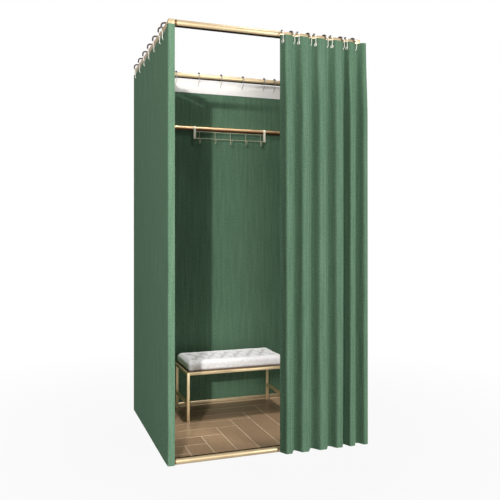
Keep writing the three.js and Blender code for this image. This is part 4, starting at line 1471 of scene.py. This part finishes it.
def plank_mesh(low, high, foot):
    """Separate thin planks, cut to the rectangle, with UVs along each plank."""
    obj = added("Planks", "plane")
    shape = bmesh.new()
    for x0, y0, x1, y1 in plank_rectangles(low, high):
        x0, x1 = max(x0, low.x), min(x1, high.x)
        y0, y1 = max(y0, low.y), min(y1, high.y)
        if min(x1 - x0, y1 - y0) >= SMALLEST_PLANK:
            corners = ((x0, y0), (x1, y0), (x1, y1), (x0, y1))
            shape.faces.new([shape.verts.new((x, y, foot)) for x, y in corners])
    shape.to_mesh(obj.data)
    shape.free()
    edit(obj, "SELECT")
    bpy.ops.mesh.extrude_region_move(TRANSFORM_OT_translate={"value": (0, 0, PLANK_RISE)})
    leave()
    face_out(obj)
    board = obj.data.attributes.new("Board", "FLOAT", "FACE")
    for face in obj.data.polygons:
        board.data[face.index].value = plank_at(face.center)[1]

    def place(face, point):
        upright, tone, k, m = plank_at(face.center)
        along, across = (point.y, point.x) if upright else (point.x, point.y)
        return along + k * GRAIN_SHIFT[0] + m * GRAIN_SHIFT[1], across + tone

    map_faces(obj, place)
    return obj


# Bench
BENCH_TUBE_EDGE = 1.6 * MM
BOARD_EDGE = 0.8 * MM
PILLOW_DRAW = 6 * MM
PILLOW_ROUND = 14 * MM
VOXEL = 5 * MM
MOST_SWELL = 8 * MM
SWELL_FRAMES = 20
TOP_SPARE = 2 * MM
TUFT_MARGIN = 8 * MM
TUFTED_ZONE = 14 * MM
TUFT_EDGE_FADE = 18 * MM
CREASE_WIDTH = 8 * MM
DIP_SHARE = 0.6
TUFT_MATCH = 2 * MM
FLAT_ENOUGH = 0.6


class FITTINGROOM_OT_bench_frame(bpy.types.Operator):
    """Makes the bench's frame and its seat board"""

    bl_idname = "fitting_room.bench_frame"
    bl_label = "Bench Frame"

    def execute(self, context):
        metal = settings().metal
        finish = tube_material("Bench tube", metal.bench, metal.bench_shade, roughness=0.34)
        names = []
        for end in ("front", "rear"):
            names += [f"bench_{end}_left_leg", f"bench_{end}_right_leg", f"bench_{end}_rail"]
        for side in ("left", "right"):
            names += [f"bench_{side}_rail", f"bench_{side}_stretcher"]
        for name in names:
            tube = block(*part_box(name), BENCH_TUBE_EDGE)
            dress(tube, f"{name}_tube", finish, "bench", [name])
        board = block(*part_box("bench_seat_board"), BOARD_EDGE, 2)
        board_finish = enamel_material("Bench board", settings().bench.board, 0.6)
        dress(board, "bench_seat_board_ply", board_finish, "bench", ["bench_seat_board"])
        return {"FINISHED"}


def tuft_sites(half_x, half_y):
    """The tufts, in three rows that are staggered by half a pitch."""
    values = settings().bench
    sites = []
    most = int((half_x - values.tuft_radius) / values.tuft_pitch) + 1
    for row, stagger in ((-0.5, 0.0), (0.0, 0.5), (0.5, 0.0)):
        for k in range(-most, most + 1):
            x = (k + stagger) * values.tuft_pitch
            if abs(x) <= half_x - values.tuft_radius:
                sites.append(Vector((x, row * half_y, 0)))
    return sites


def pillow_start(low, high):
    """A rounded slab for the cushion, a little smaller than its place."""
    draw = Vector((PILLOW_DRAW, PILLOW_DRAW, 0))
    obj = block(low + draw, high - draw - Vector((0, 0, PILLOW_DRAW)), PILLOW_ROUND, 6)
    apply_modifier(obj, "REMESH", mode="VOXEL", voxel_size=VOXEL, use_smooth_shade=True)
    return obj


def inflate(obj):
    """Swells the cushion with a short cloth simulation, and caps how far each point goes."""
    start = [vertex.co.copy() for vertex in obj.data.vertices]
    make_active(obj)
    modifier = obj.modifiers.new("Cloth", "CLOTH")
    modifier.settings.use_pressure = True
    modifier.settings.uniform_pressure_force = 4
    modifier.settings.effector_weights.gravity = 0
    modifier.settings.quality = 5
    modifier.collision_settings.use_self_collision = False
    scene = bpy.context.scene
    for number in range(1, SWELL_FRAMES + 1):
        scene.frame_set(number)
    bpy.ops.object.modifier_apply(modifier=modifier.name)
    scene.frame_set(1)
    for vertex, before in zip(obj.data.vertices, start):
        move = vertex.co - before
        if move.length > MOST_SWELL:
            vertex.co = before + move.normalized() * MOST_SWELL


def crown(obj, low, high):
    """Swells the cushion's top towards its middle, and keeps its foot flat."""
    centre, half = (low + high) / 2, (high - low) / 2
    for vertex in obj.data.vertices:
        vertex.co.z = max(vertex.co.z, low.z)
        u, v = (vertex.co.x - centre.x) / half.x, (vertex.co.y - centre.y) / half.y
        if vertex.co.z > centre.z:
            swell = (1 - min(abs(u), 1) ** 4) * (1 - min(abs(v), 1) ** 4)
            lift = settings().bench.crown * 0.5 * swell
            vertex.co.z = min(vertex.co.z + lift, high.z + TOP_SPARE)


def crease_near(point, sites, pitch_x, pitch_y):
    """How close a point is to a line between two neighbouring tufts, 1 on the line."""
    best = 0.0
    for site in sites:
        for dx, dy in ((-0.5, -1), (-0.5, 1), (0.5, -1), (0.5, 1)):
            end = Vector((site.x + dx * pitch_x, site.y + dy * pitch_y, 0))
            if any((end - other).length < TUFT_MATCH for other in sites):
                way = end - site
                t = min(max((point - site).dot(way) / way.length_squared, 0), 1)
                gap = (point - site - way * t).length
                best = max(best, math.exp(-((gap / CREASE_WIDTH) ** 2)))
    return best


def press_tufts(obj, centre, half, top):
    """Presses the tufts and the soft creases between them into the cushion's top, and stores how deep each
    point is pressed for the painted shade in the dips.
    """
    values = settings().bench
    sites = tuft_sites(half.x, half.y)
    # the Crease attribute drives the painted shade in the dips
    shade = obj.data.attributes.new("Crease", "FLOAT", "POINT")
    for vertex in obj.data.vertices:
        if vertex.co.z < top - TUFTED_ZONE:
            continue
        flat = Vector((vertex.co.x - centre.x, vertex.co.y - centre.y, 0))
        near = min((flat - site).length for site in sites)
        dip = values.tuft_depth * math.exp(-((near / (values.tuft_radius * DIP_SHARE)) ** 2))
        crease = values.crease_depth * crease_near(flat, sites, values.tuft_pitch, half.y * 0.5)
        edge = min(half.x - abs(flat.x), half.y - abs(flat.y))
        deep = max(dip, crease) * smooth_step(edge / TUFT_EDGE_FADE)
        vertex.co.z -= deep
        shade.data[vertex.index].value = min(deep / values.tuft_depth, 1)


class FITTINGROOM_OT_cushion(bpy.types.Operator):
    """Makes the bench's tufted cushion"""

    bl_idname = "fitting_room.cushion"
    bl_label = "Tufted Cushion"

    def execute(self, context):
        values = settings().bench
        low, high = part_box("bench_cushion")
        obj = pillow_start(low, high)
        inflate(obj)
        crown(obj, low, high)
        half = (high - low) / 2 - Vector((TUFT_MARGIN, TUFT_MARGIN, 0))
        press_tufts(obj, (low + high) / 2, half, high.z)
        apply_modifier(obj, "SUBSURF", levels=1, render_levels=1)
        map_faces(obj, main_plane)
        looks = {"mottle": 60.0, "streak": 0.0, "depth": 0.35 * MM, "sheen": 0.15, "crease": values.crease}
        cover = cloth_material("Cushion cover", values.cover, values.cover_shade, 420.0, **looks)
        dress(obj, "bench_cushion_pad", cover, "bench", ["bench_cushion"], 70)
        return {"FINISHED"}


def main_plane(face, point):
    """A point on the plane that its face mostly lies in."""
    if abs(face.normal.z) > FLAT_ENOUGH:
        return point.x, point.y
    if abs(face.normal.y) > abs(face.normal.x):
        return point.x, point.z
    return point.y, point.z


# Stage: each lamp's place, what it points at, its setting for power, and its size
LAMPS = {
    "Fill": ((3.5, -7.4, 2.4), (0.0, -0.4, 1.2), "fill_power", 1.6),
    "Left": ((-1.7, 0.5, 3.6), (-0.5, 0.0, 1.0), "left_power", 0.8),
    "Front": ((-2.3, -4.1, 2.2), (-0.1, 0.0, 1.3), "front_power", 0.9),
    "Tape": ((0.15, -0.45, 2.85), (0.0, REAR_AXIS, 1.7), "tape_power", 0.3),
    "Low": ((0.33, -0.36, 0.3), (-0.05, 0.3, 0.25), "low_power", 0.35),
    "Back": ((1.6, 4.2, 2.6), (0.0, 0.4, 1.0), "back_power", 2.5),
}
KEY_SPREAD = math.radians(120)
KEY_EDGE_TURN = math.radians(60.6)
KEY_EDGE_SOFTNESS = 0.095
KEY_SLANT = -0.12
KEY_SIZE = 0.09
TOP_AWAY = 5.0
TOP_LEAN = (0.02, -0.04, 1.0)
TOP_SPREAD_SHARE = 1.1
TOP_EDGE_SOFTNESS = 0.5
TOP_SIZE = 0.1
STUDIO_SIZE = 60
STUDIO_DROP = 0.3 * MM
STUDIO_GREY = 0.19
SHADE_NEAR = 0.9
SHADE_FAR = 2.4
SHADE_LEVEL = 0.93
SENSOR_WIDTH = 36


class FITTINGROOM_OT_stage(bpy.types.Operator):
    """Makes the camera, the lamps, the sky and the pale floor"""

    bl_idname = "fitting_room.stage"
    bl_label = "Stage"

    def execute(self, context):
        values = settings().stage
        add_camera(values)
        add_floor()
        add_key(values)
        for name, (place, target, power, size) in LAMPS.items():
            way = Vector(target) - Vector(place)
            lamp = add_lamp(name, "AREA", Vector(place), way, getattr(values, power))
            lamp.shape = "DISK"
            lamp.size = size
        add_top(values.top_power)
        add_sky(values.world_level)
        bpy.context.scene.view_settings.view_transform = "Standard"
        return {"FINISHED"}


def add_camera(values):
    deselect_all()
    place = (values.camera_x, values.camera_y, values.camera_z)
    bpy.ops.object.camera_add(location=place, rotation=(math.radians(90), 0, -values.camera_turn))
    camera = active()
    camera.name = "Camera"
    camera.data.lens = values.lens
    camera.data.sensor_width = SENSOR_WIDTH
    camera.data.shift_y = values.shift_y
    camera.data.clip_end = 100
    bpy.context.scene.camera = camera


def add_floor():
    """A wide floor that the lens sees as white, a little darker round the object."""
    floor = added("Studio_floor", "plane", size=STUDIO_SIZE, location=(0, 0, -STUDIO_DROP))
    material, paint, shader = new_material("Studio floor")
    paint.feed(shader, Base_Color=(STUDIO_GREY,) * 3, Roughness=0.9)
    white = paint.feed(paint.node("Emission"), Strength=1.0).outputs[0]
    away = paint.node("VectorMath", operation="LENGTH")
    paint.plug(away.inputs[0], paint.place())
    distance = away.outputs["Value"]
    fade = paint.ramp(distance, From_Min=SHADE_NEAR, From_Max=SHADE_FAR, To_Min=SHADE_LEVEL, To_Max=1.0)
    seen = paint.maths("MULTIPLY", white_for_lens(paint), fade)
    surface = paint.blend(seen, shader.outputs[0], white)
    paint.feed(paint.nodes["Material Output"], Surface=surface)
    clothe(floor, [material])


def white_for_lens(paint):
    """1 for what the lens sees directly, in a reflection or through something, and 0 for other light."""
    path = paint.node("LightPath").outputs
    seen = paint.maths("MAXIMUM", path["Is Camera Ray"], path["Is Glossy Ray"])
    return paint.maths("MAXIMUM", seen, path["Is Transmission Ray"])


def add_lamp(name, kind, place, way, power):
    """A lamp that shines along a way and that the lens doesn't see."""
    deselect_all()
    bpy.ops.object.light_add(type=kind, location=place, rotation=way.to_track_quat("-Z", "Y").to_euler())
    lamp = active()
    lamp.name = name
    lamp.data.energy = power
    lamp.visible_camera = False
    return lamp.data


def add_key(values):
    """A spot lamp from the left of the doorway, a little above it. Its light ends before the curtain."""
    way = Vector((math.sin(values.key_turn), math.cos(values.key_turn), -math.tan(values.key_drop)))
    place = Vector((LEFT_AXIS + CORNER_HALF, FRONT_AXIS, TOP_AXIS)) - way * values.key_away
    aim = values.key_cut - KEY_EDGE_TURN
    lamp = add_lamp("Key", "SPOT", place, Vector((math.sin(aim), math.cos(aim), KEY_SLANT)), values.key_power)
    lamp.spot_size = KEY_SPREAD
    lamp.spot_blend = KEY_EDGE_SOFTNESS
    lamp.shadow_soft_size = KEY_SIZE


def add_top(power):
    """A narrow spot lamp high above the bench, which lights the cushion through the open top."""
    low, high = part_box("bench_cushion")
    away = Vector(TOP_LEAN) * TOP_AWAY
    place = Vector(((low.x + high.x) / 2, (low.y + high.y) / 2, high.z)) + away
    lamp = add_lamp("Top", "SPOT", place, -away, power)
    lamp.spot_size = 2 * math.atan((high.x - low.x) * TOP_SPREAD_SHARE / TOP_AWAY)
    lamp.spot_blend = TOP_EDGE_SOFTNESS
    lamp.shadow_soft_size = TOP_SIZE


def add_sky(level):
    """White for the lens, and a low level of light for everything else."""
    world = bpy.context.scene.world or bpy.data.worlds.new("Sky")
    bpy.context.scene.world = world
    world.use_nodes = True
    paint = Paint(world.node_tree)
    paint.nodes.clear()
    lens_white, light = [
        paint.feed(paint.node("Background"), Color=(1, 1, 1), Strength=strength).outputs[0]
        for strength in (1.0, level)
    ]
    surface = paint.blend(white_for_lens(paint), light, lens_white)
    paint.feed(paint.node("OutputWorld"), Surface=surface)


OPERATORS = (
    FITTINGROOM_OT_stage,
    FITTINGROOM_OT_tubes,
    FITTINGROOM_OT_corners,
    FITTINGROOM_OT_side_curtains,
    FITTINGROOM_OT_rear_curtain,
    FITTINGROOM_OT_front_curtain,
    FITTINGROOM_OT_heading_tapes,
    FITTINGROOM_OT_front_hooks,
    FITTINGROOM_OT_clothes_rail,
    FITTINGROOM_OT_hook_rack,
    FITTINGROOM_OT_floor_panel,
    FITTINGROOM_OT_bench_frame,
    FITTINGROOM_OT_cushion,
)
GROUPS = (
    CurtainSettings,
    HookSettings,
    MetalSettings,
    FloorSettings,
    BenchSettings,
    StageSettings,
    FittingRoomSettings,
)


class FITTINGROOM_PT_pieces(bpy.types.Panel):
    """Lists the fitting room's pieces and its main sizes"""

    bl_label = "Fitting Room"
    bl_idname = "FITTINGROOM_PT_pieces"
    bl_space_type = "VIEW_3D"
    bl_region_type = "UI"
    bl_category = "Fitting Room"

    def draw(self, context):
        layout = self.layout
        for operator in OPERATORS:
            layout.operator(operator.bl_idname)
        for part in ("curtain", "hook", "metal", "floor", "bench", "stage"):
            group = getattr(context.scene.fitting_room, part)
            column = layout.column(heading=part.title())
            for name in group.bl_rna.properties.keys():
                if name not in ("rna_type", "name"):
                    column.prop(group, name)


def register():
    for kind in (*GROUPS, *OPERATORS, FITTINGROOM_PT_pieces):
        bpy.utils.register_class(kind)
    bpy.types.Scene.fitting_room = PointerProperty(type=FittingRoomSettings)


def unregister():
    del bpy.types.Scene.fitting_room
    for kind in (FITTINGROOM_PT_pieces, *reversed(OPERATORS), *reversed(GROUPS)):
        bpy.utils.unregister_class(kind)


def main():
    register()
    for operator in OPERATORS:
        category, name = operator.bl_idname.split(".")
        getattr(getattr(bpy.ops, category), name)()


if __name__ == "__main__":
    main()
